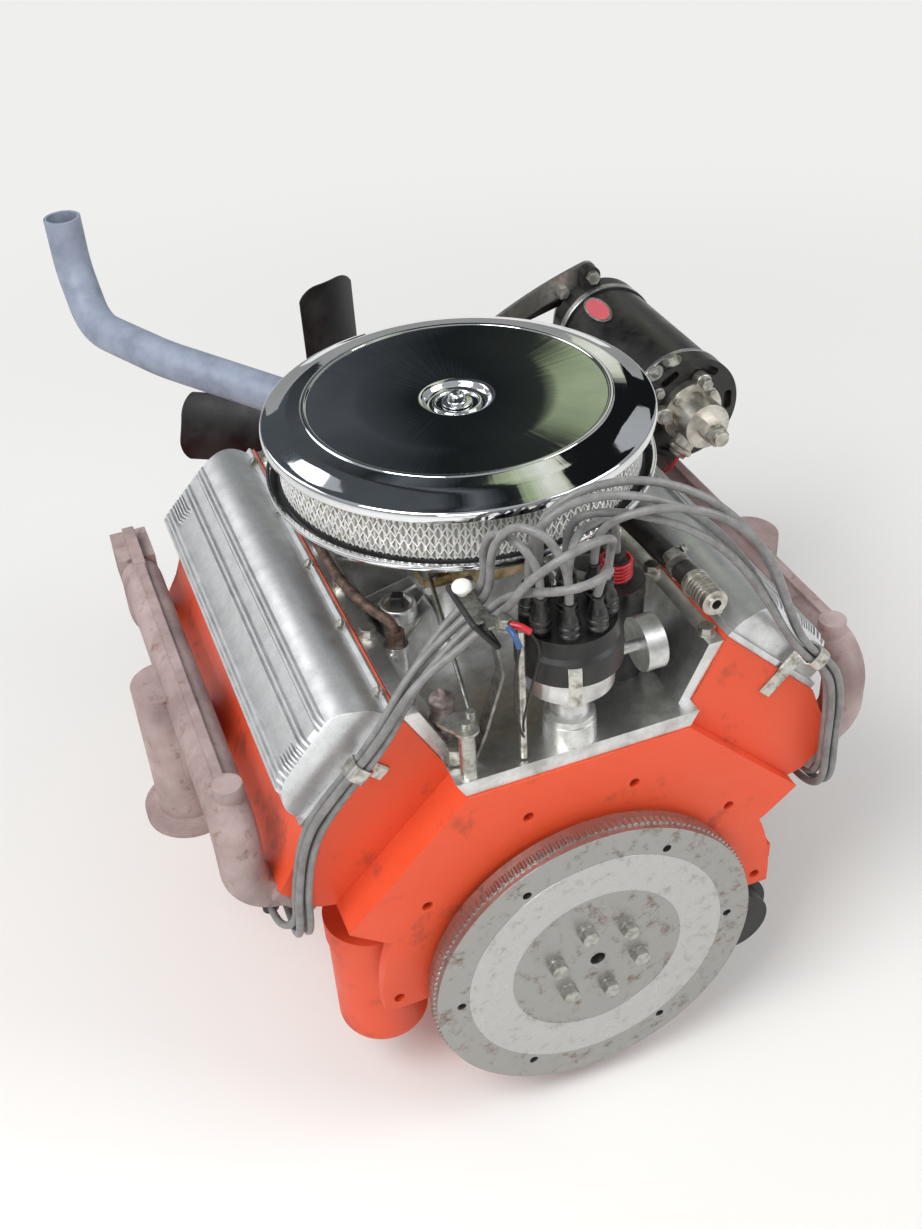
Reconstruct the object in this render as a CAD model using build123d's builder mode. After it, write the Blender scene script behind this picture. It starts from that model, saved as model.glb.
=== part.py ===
from build123d import *
from math import cos, pi, radians, sin, sqrt, tan
import os

os.makedirs("parts", exist_ok=True)

# A small V8 petrol engine with its air cleaner, finned rocker covers and belt-driven parts.
# Millimetres. +Z is up, +Y points to the gearbox and -Y to the fan. The origin is the
# crankshaft axis on the rear face of the cylinder block.

# Block and banks
slope = sqrt(0.5)
block_length = 513.0
pan_rail_half = 133.0
crankcase_half = 122.0
deck_height = 229.2
deck_half = 82.0
valley_half = 46.0
valley_floor = 152.0
end_wall = 20.0
rear_flange_radius = 198.0
rear_flange_thick = 14.0
rear_flange_low = 14.0
bell_bolt_radius = 183.0
bell_bolt_hole = 5.1
bell_bolt_depth = 28.0
running_clearance = 0.05
standing = (Align.CENTER, Align.CENTER, Align.MIN)
seat_gap = 0.3
bore_pitch = 111.8
bank_stagger = 22.4

# Cylinder heads
head_setback = 46.0
head_height = 82.0
head_face = 90.0
head_inner = 107.0
left_head_rear = -38.0

# Finned rocker covers
cover_margin = 2.0
cover_flange = 6.0
cover_outer = 22.0
cover_inner = 106.0
cover_wall_outer = 16.0
cover_wall_inner = 101.0
cover_crown = 43.0
cover_end_radius = 24.0
fin_width = 2.6
short_fin_width = 1.7
short_fin_front = 48.0
short_fin_rear = 30.0

# Intake manifold
manifold_gap = 2.3
manifold_floor_thick = 16.0
manifold_flange = 15.0
manifold_height = 80.0
carb_pad_rise = 8.0
thermostat_setback = 37.0
thermostat_rise = 64.0

# Carburettor and air cleaner
horn_radius = 61.0
horn_height = 10.0
carb_height = 72.0
cleaner_radius = 177.8
cleaner_sheet = 1.6
element_height = 54.0
element_radius = 164.0
element_thick = 34.0
seal_height = 7.0
lid_rise = 17.0

# Distributor
distributor_y = -25.0
distributor_rise = 36.0
bowl_radius = 38.0
bowl_top = 66.0
cap_radius = 45.0
cap_height = 40.0
tower_circle = 31.0
tower_radius = 6.0
tower_height = 16.0
boot_radius = 8.6
boot_overlap = 12.0
boot_height = 30.0
lead_diameter = 7.0
lead_clearance = 0.3

# Belt drive
belt_reach = 109.0
belt_width = 9.6
belt_depth = 8.0
groove_clearance = 0.3
rim_height = 9.0
rim_thick = 3.0
crank_groove_radius = 80.0
pump_axis = 178.0
pump_groove_radius = 74.0
generator_rise = 192.2
generator_out = 2.8
generator_groove_radius = 34.0
shaft_radius = 9.0
shaft_depth = 18.0

# Water pump and fan
snout_gap = 16.0
fan_radius = 203.0
fan_reach = 70.0
fan_blade_count = 5
fan_blade_pitch = 24.0

# Generator
generator_radius = 58.0
generator_gap = 22.0
generator_length = 226.0

# Exhaust manifolds
port_height = 265.0
port_spread = 38.3
port_inner = 21.0
runner_radius = 20.0
horn_x = 290.0
horn_z = 205.0
outlet_x = 306.0
outlet_radius = 31.0
outlet_bore = 26.0
outlet_bottom = 48.0

# Crankshaft ends
rear_seal_radius = 42.0
rear_seal_depth = 12.0
flywheel_radius = 158.0
flywheel_front = 8.0
flywheel_thick = 24.0
front_seal_radius = 22.0
timing_depth = 32.0

# Places that follow from these sizes
head_length = block_length - head_setback
left_head_mid = left_head_rear - head_length / 2
cylinder_rear = left_head_mid + 1.5 * bore_pitch
cylinder_rows = [cylinder_rear - k * bore_pitch for k in range(4)]
head_top = deck_height + head_height
timing_cover_front = -block_length - timing_depth
belt_plane = -block_length - belt_reach
pump_snout_end = belt_plane + snout_gap
fan_plane = belt_plane - fan_reach
generator_front = belt_plane + generator_gap
generator_rear = generator_front + generator_length
generator_x = -slope * (deck_height + generator_rise + generator_out)
generator_z = slope * (deck_height + generator_rise - generator_out)
floor_low = slope * (deck_height + deck_half) + seat_gap
floor_high = floor_low + manifold_floor_thick
carb_pad_height = floor_low + manifold_height
manifold_top = carb_pad_height - carb_pad_rise
carb_centre = left_head_mid + bank_stagger / 2
cleaner_base = carb_pad_height + carb_height
thermostat_y = thermostat_setback - block_length
thermostat_pad = floor_low + thermostat_rise
distributor_pad = floor_low + distributor_rise
cap_bottom = distributor_pad + bowl_top


def bank_plane(y):
    """Section plane of the left bank: local x runs down and outwards, local y up the bank."""
    return Plane(origin=(0, y, 0), x_dir=(slope, 0, -slope), z_dir=(0, -1, 0))


def bank_point(u, n, y):
    """Point of the left bank at u along its deck and n up its bores."""
    return Vector(slope * (n + u), y, slope * (n - u))


def right_plane(y):
    """Section plane of the right bank: as the left one's, with its normal to the rear."""
    return Plane(origin=(0, y, 0), x_dir=(-slope, 0, -slope), z_dir=(0, 1, 0))


def right_of(part):
    """The right-hand copy of a left-hand piece, moved back by the stagger of the banks."""
    return mirror(part, about=Plane.YZ, mode=Mode.PRIVATE).moved(Location((0, bank_stagger, 0)))


def save(name, piece):
    piece.part.label = name
    export_step(piece.part, f"parts/{name}.step")


# Cylinder block: V-shaped casting, with a flange for the gearbox housing at the rear
deck_low = bank_point(deck_half, deck_height, 0)
deck_high = bank_point(-deck_half, deck_height, 0)
block_half = [
    (pan_rail_half, 0),
    (pan_rail_half, 14),
    (crankcase_half, 20),
    (crankcase_half, 46),
    (188, 78),
    (deck_low.X, deck_low.Z),
    (deck_high.X, deck_high.Z),
    (deck_high.X - 30, deck_high.Z - 24),
    (valley_half, valley_floor),
]
block_section = block_half + [(-x, z) for x, z in reversed(block_half)]
valley_wall = [
    (deck_high.X, deck_high.Z),
    (-deck_high.X, deck_high.Z),
    (-valley_half, valley_floor),
    (valley_half, valley_floor),
]
mount_pad_x = 150.0
mount_y = -262.0
mount_pad_size = (36, 90, 58)
filter_x = 181.0
filter_y = -78.0
filter_radius = 46.0
filter_seat = 14.0
starter_x = -165.0
starter_z = -62.0
starter_radius = 55.0
fuel_pump_y = 73.0 - block_length
fuel_pump_z = 26.0
fuel_pump_pad = 138.0
fuel_pump_flange = 50.0
bell_angles = [0, 36, 74, 106, 144, 180]

with BuildPart() as cylinder_block:
    with BuildSketch(Plane.XZ):
        Polygon(*block_section, align=None)
    extrude(amount=block_length)
    # End walls that carry the ends of the intake manifold
    with BuildSketch(Plane.XZ, Plane.XZ.offset(block_length - end_wall)):
        Polygon(*valley_wall, align=None)
    extrude(amount=end_wall)
    with BuildSketch(Plane.XZ):
        Circle(rear_flange_radius)
        with Locations((0, -rear_flange_radius - rear_flange_low)):
            Rectangle(3 * rear_flange_radius, 2 * rear_flange_radius, mode=Mode.SUBTRACT)
    extrude(amount=rear_flange_thick)
    with Locations([(side * (mount_pad_x - mount_pad_size[0] / 2), mount_y, 45) for side in (-1, 1)]):
        Box(*mount_pad_size)
    # Oil filter boss at the left rear and starter pad at the right rear
    with BuildSketch(Plane.XY.offset(filter_seat)):
        with Locations((filter_x, filter_y)):
            Circle(filter_radius)
        with Locations(((filter_x + crankcase_half) / 2 - 8, filter_y)):
            Rectangle(filter_x - crankcase_half + 16, 80)
    extrude(amount=26)
    with Locations((starter_x + 12, -42, 9)):
        Box(110, 56, 18)
    # Fuel pump pad at the right front
    with Locations((12 - fuel_pump_pad, fuel_pump_y, fuel_pump_z)):
        Box(24, 80, fuel_pump_flange)
    # Core plug recesses in the side walls
    for side in (-1, 1):
        for y in [cylinder_rear - (k + 0.5) * bore_pitch for k in (0, 2)]:
            with BuildSketch(Plane(origin=(side * 155, y, 62), x_dir=(0, 1, 0), z_dir=(side * 32, 0, -66))):
                Circle(20)
            extrude(amount=-6, mode=Mode.SUBTRACT)
    # Bolt holes for the gearbox housing, on one circle round the crankshaft
    with BuildSketch(Plane.XZ):
        for angle in bell_angles:
            turn = radians(angle)
            with Locations((bell_bolt_radius * cos(turn), bell_bolt_radius * sin(turn))):
                Circle(bell_bolt_hole)
    extrude(amount=bell_bolt_depth, mode=Mode.SUBTRACT)
    with BuildSketch(Plane.XZ):
        Circle(rear_seal_radius + running_clearance)
    extrude(amount=rear_seal_depth, mode=Mode.SUBTRACT)
save("cylinder_block", cylinder_block)

# Pressed steel oil pan with a deep sump at the rear
pan_depth = 190.0
pan_half = 104.0
pan_flange = 3.0
pan_front = 13 - block_length
pan_side = [
    (pan_front, 0),
    (pan_front, -58),
    (pan_front + 80, -84),
    (-262, -96),
    (-218, -pan_depth),
    (-40, -pan_depth),
    (-22, -70),
    (-22, 0),
]
with BuildPart() as oil_pan:
    with BuildSketch(Plane.YZ.offset(-pan_half)):
        Polygon(*pan_side, align=None)
    extrude(amount=2 * pan_half)
    fillet(oil_pan.edges().filter_by(Axis.X).group_by(Axis.Z)[0], 20)
    with Locations((0, -block_length + 4, -pan_flange)):
        Box(
            2 * pan_rail_half,
            block_length - 4 - rear_flange_thick - seat_gap,
            pan_flange,
            align=(Align.CENTER, Align.MIN, Align.MIN),
        )
    with Locations(Location((pan_half, -120, -pan_depth + 24), (0, 90, 0))):
        Cylinder(11, 8, align=standing)
save("oil_pan", oil_pan)

# Timing cover with the boss round the crankshaft nose
timing_outline = [(-96, 0), (96, 0), (92, 60), (58, 112), (-58, 112), (-92, 60)]
with BuildPart() as timing_cover:
    with BuildSketch(Plane.XZ.offset(block_length)):
        Polygon(*timing_outline, align=None)
    extrude(amount=timing_depth - 12, taper=8)
    with BuildSketch(Plane.XZ.offset(block_length)):
        with Locations((0, 46)):
            Circle(44)
        with Locations((0, 23)):
            Rectangle(88, 46)
    extrude(amount=timing_depth)
    with BuildSketch(Plane.XZ.offset(block_length)):
        Circle(front_seal_radius + running_clearance)
    extrude(amount=timing_depth, mode=Mode.SUBTRACT)
save("timing_cover", timing_cover)

# Cylinder heads
head_section = [
    (-deck_half, deck_height),
    (deck_half, deck_height),
    (head_face, deck_height + 14),
    (head_face, deck_height + 58),
    (60, deck_height + 66),
    (24, head_top),
    (-head_inner, head_top),
]
with BuildPart() as head_left:
    with BuildSketch(bank_plane(left_head_rear)):
        Polygon(*head_section, align=None)
    extrude(amount=head_length)
save("head_left", head_left)
with BuildPart() as head_right:
    add(right_of(head_left.part))
save("head_right", head_right)

# Rocker covers: cast aluminium, with long fins, a plain band and short fins at its ends
cover_rear = left_head_rear - cover_margin
cover_length = head_length - 2 * cover_margin
cover_base = head_top + cover_flange
cover_top = cover_base - cover_flange + cover_crown
fin_tops = [
    # place across the cover, height above its crown
    (4.0, -2.0),
    (-2.5, 1.0),
    (-9.0, 2.5),
    (-36.5, 4.0),
    (-42.5, 4.2),
    (-61.0, 4.5),
    (-66.5, 4.5),
]
short_fin_places = [-14.5 - 3.8 * k for k in range(6)]
short_fin_top = 2.5
band_place = -51.8
band_half = 5.5
with BuildPart() as rocker_cover_left:
    with BuildSketch(bank_plane(cover_rear)):
        with BuildLine():
            ThreePointArc(
                (cover_wall_outer, cover_base), (9.5, cover_top - 11), (-8, cover_top - 3)
            )
            Line((-8, cover_top - 3), (-66, cover_top))
            ThreePointArc((-66, cover_top), (-92, cover_top - 12), (-cover_wall_inner, cover_base))
            Line((-cover_wall_inner, cover_base), (cover_wall_outer, cover_base))
        make_face()
        for place, height in fin_tops:
            with Locations((place, cover_top + height - 6)):
                Rectangle(fin_width, 12)
        with Locations((band_place, cover_top - 2)):
            Rectangle(2 * band_half, 8)
    extrude(amount=cover_length)
    with BuildSketch(bank_plane(cover_rear)):
        for place in short_fin_places:
            with Locations((place, cover_top + short_fin_top - 5)):
                Rectangle(short_fin_width, 10)
    extrude(amount=short_fin_rear)
    with BuildSketch(bank_plane(cover_rear - cover_length + short_fin_front)):
        for place in short_fin_places:
            with Locations((place, cover_top + short_fin_top - 5)):
                Rectangle(short_fin_width, 10)
    extrude(amount=short_fin_front)
    # Rounded ends, cut across the cover
    with BuildSketch(Plane(origin=(0, 0, 0), x_dir=(0, 1, 0), z_dir=(slope, 0, -slope))) as ends:
        with Locations((cover_rear - cover_length / 2, cover_top + 5 - 50)):
            Rectangle(cover_length - 8, 100)
        fillet(ends.vertices().group_by(Axis.Y)[-1], cover_end_radius)
    extrude(amount=2 * cover_inner, both=True, mode=Mode.INTERSECT)
    with BuildSketch(bank_plane(cover_rear)):
        with Locations(((cover_outer - cover_inner) / 2, head_top + cover_flange / 2)):
            Rectangle(cover_outer + cover_inner, cover_flange)
    extrude(amount=cover_length)
save("rocker_cover_left", rocker_cover_left)
with BuildPart() as rocker_cover_right:
    add(right_of(rocker_cover_left.part))
save("rocker_cover_right", rocker_cover_right)

# Intake manifold: floor over the valley, flanges along the heads, runners and plenum
lean = (head_inner - deck_half) / head_height
face_low = bank_point(-deck_half, deck_height, 0)
face_high = bank_point(-head_inner, head_top, 0)
face_rate = (face_high.X - face_low.X) / (face_high.Z - face_low.Z)


def flank(z):
    """Half-width of the manifold at height z, a gasket's gap inside the heads' faces."""
    return face_low.X + face_rate * (z - face_low.Z) - seat_gap * sqrt(1 + face_rate**2)


flange_section = [
    (flank(floor_low), floor_low),
    (flank(manifold_top), manifold_top),
    (flank(manifold_top) - manifold_flange, manifold_top),
    (flank(floor_high) - manifold_flange, floor_high - 6),
]
runner_shift = 17.7
runner_rows = [
    -1.5 * bore_pitch + runner_shift,
    -0.5 * bore_pitch,
    0.5 * bore_pitch,
    1.5 * bore_pitch - runner_shift,
]
runner_low = floor_high - 1
runner_height = 40.0
runner_round = 5.0
runner_half = 15.0
plenum_half = 60.0
runner_end = 146.0
trim_top = manifold_top + 20
heater_bore = 7.0
nipple_x = -96.0
pipe_boss_x = flank(floor_high) - 2.43
pipe_boss_back = 122.0
pipe_boss_rise = 43.0
runners = []
for side, stagger in ((1, 0), (-1, bank_stagger)):
    for row in runner_rows:
        near = carb_centre + row * 0.34
        far = left_head_mid + stagger + row
        half = runner_half * sqrt(1 + ((far - near) / (runner_end - plenum_half)) ** 2)
        with BuildPart() as runner:
            with BuildSketch(Plane.XY.offset(runner_low)):
                Polygon(
                    (side * (plenum_half - 6), near + side * half),
                    (side * (plenum_half - 6), near - side * half),
                    (side * runner_end, far - side * half),
                    (side * runner_end, far + side * half),
                    align=None,
                )
            extrude(amount=runner_height, taper=9)
            fillet(runner.edges().group_by(Axis.Z)[-1], runner_round)
        runners.append(runner.part)
with BuildPart() as intake_manifold:
    with BuildSketch(Plane.XZ.offset(2)):
        Polygon(
            (-flank(floor_low), floor_low),
            (flank(floor_low), floor_low),
            (flank(floor_high), floor_high),
            (-flank(floor_high), floor_high),
            align=None,
        )
    extrude(amount=block_length - 13)
    with BuildSketch(Plane.XZ.offset(-left_head_rear + 2)):
        Polygon(*flange_section, align=None)
    extrude(amount=head_length - 4)
    with BuildSketch(Plane.XZ.offset(-left_head_rear - bank_stagger + 2)):
        Polygon(*[(-x, z) for x, z in reversed(flange_section)], align=None)
    extrude(amount=head_length - 4)
    with Locations((0, carb_centre, floor_high - 4)):
        Box(2 * plenum_half, 138, manifold_top - floor_high + 4, align=standing)
    upright = intake_manifold.edges().filter_by(Axis.Z).filter_by_position(Axis.X, -61, 61)
    fillet(upright.group_by(SortBy.LENGTH)[-1], 24)
    with BuildSketch(Plane.XY.offset(manifold_top)):
        with Locations((0, carb_centre)):
            RectangleRounded(140, 152, 14)
    extrude(amount=carb_pad_rise)
    for runner in runners:
        add(runner)
    # Water passage across the front, with the thermostat's pad
    with Locations((0, thermostat_y, floor_high + 14)):
        Box(232, 38, 34)
    with Locations((0, thermostat_y, runner_low)):
        Cylinder(33, thermostat_pad - runner_low, align=standing)
    with Locations((pipe_boss_x, left_head_mid + pipe_boss_back, floor_high)):
        Cylinder(11, pipe_boss_rise, align=standing)
    with Locations((nipple_x, thermostat_y, floor_high)):
        Cylinder(11, 31.7, align=standing)
        Cylinder(heater_bore - seat_gap, 50, align=standing)
    with Locations((0, distributor_y, floor_low)):
        Cylinder(23, distributor_pad - floor_low, align=standing)
    # Machined along the heads' faces
    with BuildSketch(Plane.XZ):
        for side in (-1, 1):
            Polygon(
                (side * flank(floor_low - 5), floor_low - 5),
                (side * flank(trim_top), trim_top),
                (side * 2 * runner_end, trim_top),
                (side * 2 * runner_end, floor_low - 5),
                align=None,
            )
    extrude(amount=block_length, mode=Mode.SUBTRACT)
save("intake_manifold", intake_manifold)

# Thermostat housing and the top hose, whose far end is open for the radiator
hose_radius = 21.0
hose_bore = 17.3
neck_radius = hose_bore - seat_gap
neck_height = thermostat_pad + 24
neck_aim = Vector(0.70, -0.714, 0).normalized()
neck_start = Vector(0, thermostat_y, neck_height)
neck_length = 62.0
neck_bare = 34.0
hose_start = neck_start + neck_aim * neck_bare
hose_bend = neck_start + neck_aim * 112
hose_route = [
    tuple(hose_start),
    tuple(hose_bend),
    (196, thermostat_y - 204, neck_height + 24),
    (254, thermostat_y - 314, neck_height + 28),
    (260, thermostat_y - 366, neck_height + 84),
    (260, thermostat_y - 366, neck_height + 144),
]
hose_radii = [90, 130, 60, 50]
neck_plane = Plane(origin=tuple(neck_start), x_dir=(0, 0, 1), z_dir=tuple(neck_aim))
with BuildPart() as thermostat_housing:
    with Locations((0, thermostat_y, thermostat_pad)):
        Cylinder(33, 7, align=standing)
        Cylinder(23, neck_height - thermostat_pad, align=standing)
    with Locations((0, thermostat_y, neck_height)):
        Sphere(23)
    with BuildSketch(neck_plane):
        Circle(neck_radius)
    extrude(amount=neck_length)
save("thermostat_housing", thermostat_housing)

with BuildPart() as radiator_hose:
    with BuildLine():
        FilletPolyline(*hose_route, radius=hose_radii)
    with BuildSketch(neck_plane.offset(neck_bare)):
        Circle(hose_radius)
    sweep()
    with BuildSketch(neck_plane.offset(neck_bare)):
        Circle(hose_bore)
    extrude(amount=neck_length - neck_bare + 4, mode=Mode.SUBTRACT)
    with Locations(hose_route[-1]):
        Cylinder(hose_bore, 36, align=(Align.CENTER, Align.CENTER, Align.MAX), mode=Mode.SUBTRACT)
save("radiator_hose", radiator_hose)

# Carburettor
carb_base = 8.0
carb_body_top = carb_pad_height + 52
bowl_half = 46.0
bowl_place = 80.0
bowl_low = carb_pad_height + 13
carb_shoulder = 64.0
with BuildPart() as carburettor:
    with Locations((0, carb_centre, carb_pad_height)):
        Box(136, 146, carb_base, align=standing)
        Box(104, 116, carb_body_top - carb_pad_height, align=standing)
    for end in (-1, 1):
        with BuildSketch(Plane.XY.offset(bowl_low)):
            with Locations((0, carb_centre + end * bowl_place)):
                RectangleRounded(2 * bowl_half, 50, 10)
        extrude(amount=38)
    # Choke housing on the right and accelerator pump cover under the front bowl
    with Locations(Location((-52, carb_centre + 24, bowl_low + 22), (0, -90, 0))):
        Cylinder(24, 22, align=standing)
    with Locations((30, carb_centre - bowl_place - 6, bowl_low)):
        Cylinder(15, 9, align=(Align.CENTER, Align.CENTER, Align.MAX))
    with Locations((0, carb_centre, carb_body_top - 4)):
        Cylinder(carb_shoulder, cleaner_base - carb_body_top + 4, align=standing)
    with Locations((0, carb_centre, cleaner_base)):
        Cylinder(horn_radius, horn_height, align=standing)
save("carburettor", carburettor)

# Air cleaner: chromed base and lid with the paper element between them
element_low = cleaner_base + 3.0
element_top = element_low + element_height
lid_edge = element_top - 2.0
cleaner_axis = Plane(origin=(0, carb_centre, 0), x_dir=(1, 0, 0), z_dir=(0, -1, 0))
spin_axis = Axis((0, carb_centre, 0), (0, 0, 1))
base_profile = [
    (horn_radius + seat_gap, cleaner_base),
    (168, cleaner_base),
    (cleaner_radius - 2, cleaner_base + 4),
    (cleaner_radius, cleaner_base + 7),
    (cleaner_radius, cleaner_base + 12),
    (cleaner_radius - 3, cleaner_base + 12),
    (168, element_low),
    (horn_radius + seat_gap, element_low),
]
with BuildPart() as air_cleaner_base:
    with BuildSketch(cleaner_axis):
        Polygon(*base_profile, align=None)
    revolve(axis=spin_axis)
save("air_cleaner_base", air_cleaner_base)

with BuildPart() as air_element:
    with Locations((0, carb_centre, element_low + seal_height)):
        Cylinder(element_radius, element_height - 2 * seal_height, align=standing)
        Cylinder(
            element_radius - element_thick,
            element_height - 2 * seal_height,
            align=standing,
            mode=Mode.SUBTRACT,
        )
save("air_element", air_element)

with BuildPart() as element_seals:
    for low in (element_low, element_top - seal_height):
        with BuildSketch(Plane.XY.offset(low)):
            with Locations((0, carb_centre)):
                Circle(element_radius + 3)
                Circle(element_radius - element_thick - 3, mode=Mode.SUBTRACT)
        extrude(amount=seal_height)
save("element_seals", element_seals)

lid_profile = [
    (0, element_top),
    (cleaner_radius - 8, element_top),
    (cleaner_radius - 3, element_top - 4),
    (cleaner_radius, element_top - 4),
    (cleaner_radius, element_top + 4),
    (cleaner_radius - 5, element_top + 7),
    (139, element_top + lid_rise - 1),
    (137, element_top + lid_rise),
    (135, element_top + lid_rise - 1),
    (34, element_top + lid_rise - 4),
    (28, element_top + lid_rise - 10),
    (0, element_top + lid_rise - 10),
]
with BuildPart() as air_cleaner_lid:
    with BuildSketch(cleaner_axis):
        Polygon(*lid_profile, align=None)
    revolve(axis=spin_axis)
save("air_cleaner_lid", air_cleaner_lid)

with BuildPart() as lid_nut:
    with Locations((0, carb_centre, element_top + lid_rise - 10)):
        Cylinder(14, 2, align=standing)
        Cylinder(8, 12, align=standing)
    fillet(lid_nut.edges().filter_by(GeomType.CIRCLE).group_by(Axis.Z)[-1], 5)
save("lid_nut", lid_nut)

# Distributor: housing on the manifold, moulded cap with nine towers, rubber boots
distributor_axis = Axis((0, distributor_y, 0), (0, 0, 1))
distributor_plane = Plane(origin=(0, distributor_y, 0), x_dir=(1, 0, 0), z_dir=(0, -1, 0))
cap_top = cap_bottom + cap_height
tower_top = cap_top + tower_height
boot_low = tower_top - boot_overlap
boot_top = boot_low + boot_height
towers = [
    (tower_circle * cos(radians(22.5 + 45 * k)), tower_circle * sin(radians(22.5 + 45 * k)) + distributor_y)
    for k in range(8)
]
with BuildPart() as distributor_body:
    with BuildSketch(distributor_plane):
        Polygon(
            (0, distributor_pad),
            (22, distributor_pad),
            (22, distributor_pad + 6),
            (17, distributor_pad + 8),
            (17, distributor_pad + 28),
            (bowl_radius, distributor_pad + 42),
            (bowl_radius, cap_bottom),
            (0, cap_bottom),
            align=None,
        )
    revolve(axis=distributor_axis)
    # Vacuum unit on its side
    with Locations(Location((-bowl_radius + 4, distributor_y, cap_bottom - 13), (0, -90, 0))):
        Cylinder(5, 34, align=standing)
    with Locations(Location((-bowl_radius - 24, distributor_y, cap_bottom - 13), (0, -90, 0))):
        Cylinder(24, 18, align=standing)
save("distributor_body", distributor_body)

with BuildPart() as distributor_cap:
    with BuildSketch(distributor_plane):
        Polygon(
            (0, cap_bottom),
            (cap_radius, cap_bottom),
            (cap_radius, cap_bottom + 22),
            (cap_radius - 3, cap_bottom + 26),
            (cap_radius - 5, cap_top),
            (0, cap_top),
            align=None,
        )
    revolve(axis=distributor_axis)
    with Locations([(x, y, cap_top) for x, y in towers] + [(0, distributor_y, cap_top)]):
        Cylinder(tower_radius, tower_height, align=standing)
save("distributor_cap", distributor_cap)

boot_neck = 5.6
with BuildPart() as boot:
    with BuildSketch(Plane.XZ):
        Polygon(
            (0, boot_low),
            (boot_radius - 0.6, boot_low),
            (boot_radius, boot_low + 1),
            (boot_radius, boot_low + 3.5),
            (boot_radius - 0.8, boot_low + 4.5),
            (boot_radius - 0.8, boot_low + 13),
            (boot_radius, boot_low + 14),
            (boot_radius - 0.4, boot_low + 16.5),
            (boot_neck + 0.3, boot_low + 22),
            (boot_neck, boot_top),
            (0, boot_top),
            align=None,
        )
    revolve(axis=Axis.Z)
with BuildPart() as cap_boots:
    with Locations([(x, y, 0) for x, y in towers] + [(0, distributor_y, 0)]):
        add(boot.part)
    with Locations([(x, y, boot_low) for x, y in towers] + [(0, distributor_y, boot_low)]):
        Cylinder(
            tower_radius + lead_clearance,
            boot_overlap + lead_clearance,
            align=standing,
            mode=Mode.SUBTRACT,
        )
save("cap_boots", cap_boots)

# Spark plugs and their elbowed boots
plug_height = 250.0
plug_hex = 10.4
plug_body = 14.0
plug_tip = 24.0
plug_tip_radius = 5.5
boot_start = head_face + plug_body + 3
elbow_place = 134.0
elbow_reach = 26.0
plug_boot_radius = 9.0
plug_boot_end = 7.5
with BuildPart() as spark_plugs_left:
    for y in cylinder_rows:
        seat = bank_point(head_face, plug_height, y)
        axis_plane = Plane(origin=tuple(seat), x_dir=(0, 1, 0), z_dir=(slope, 0, -slope))
        with BuildSketch(axis_plane):
            RegularPolygon(plug_hex, 6, major_radius=False)
        extrude(amount=plug_body)
        with BuildSketch(axis_plane.offset(plug_body)):
            Circle(plug_tip_radius)
        extrude(amount=plug_tip)
save("spark_plugs_left", spark_plugs_left)
with BuildPart() as spark_plugs_right:
    add(right_of(spark_plugs_left.part))
save("spark_plugs_right", spark_plugs_right)

with BuildPart() as plug_boots_left:
    for y in cylinder_rows:
        start = bank_point(boot_start, plug_height, y)
        elbow = bank_point(elbow_place, plug_height, y)
        axis_plane = Plane(origin=tuple(start), x_dir=(0, 1, 0), z_dir=(slope, 0, -slope))
        with BuildSketch(axis_plane):
            Circle(plug_boot_radius)
        extrude(amount=elbow_place - boot_start + 6)
        with BuildSketch(Plane(origin=tuple(elbow), x_dir=(1, 0, 0), z_dir=(0, 1, 0))):
            Circle(plug_boot_end)
        extrude(amount=elbow_reach)
        with BuildSketch(axis_plane):
            Circle(plug_tip_radius + lead_clearance)
        extrude(amount=head_face + plug_body + plug_tip - boot_start + lead_clearance, mode=Mode.SUBTRACT)
save("plug_boots_left", plug_boots_left)
with BuildPart() as plug_boots_right:
    add(right_of(plug_boots_left.part))
save("plug_boots_right", plug_boots_right)

# Ignition leads: from the cap's towers through the comb or straight over, then through
# a cradle behind each head, and down to the plugs. Row 0 is the rearmost plug.
touch = 0.02
comb_x = 74.0
comb_z = boot_top - 26
comb_tilt = 35.0
comb_reach = 22.0
comb_holes = [distributor_y - 25, distributor_y - 1, distributor_y - 37, distributor_y - 13]
cradle_back = [10.1, 17.9, 10.1, 17.9]
left_rise = [13.8, 13.8, 6.0, 6.0]
right_rise = [33.9, 33.9, 26.1, 26.1]
left_across = -85.0
right_across = -50.0
beyond_comb = [
    # across the deck, back from the head, above the head
    (-144, 0, 21.5),
    (-144, 14, 21.5),
    (-138, -6, 14),
    (-138, 8, 14),
]
left_bend = [(19, 10, 9.5), (19, 18, 9.5), (19, 10, -0.5), (19, 18, -0.5)]
right_bend = [(33, 10, 16.5), (33, 18, 16.5), (32, 10, 5), (32, 18, 5)]
left_towers = [1, 3, 0, 2]
right_towers = [6, 4, 7, 5]
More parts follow.
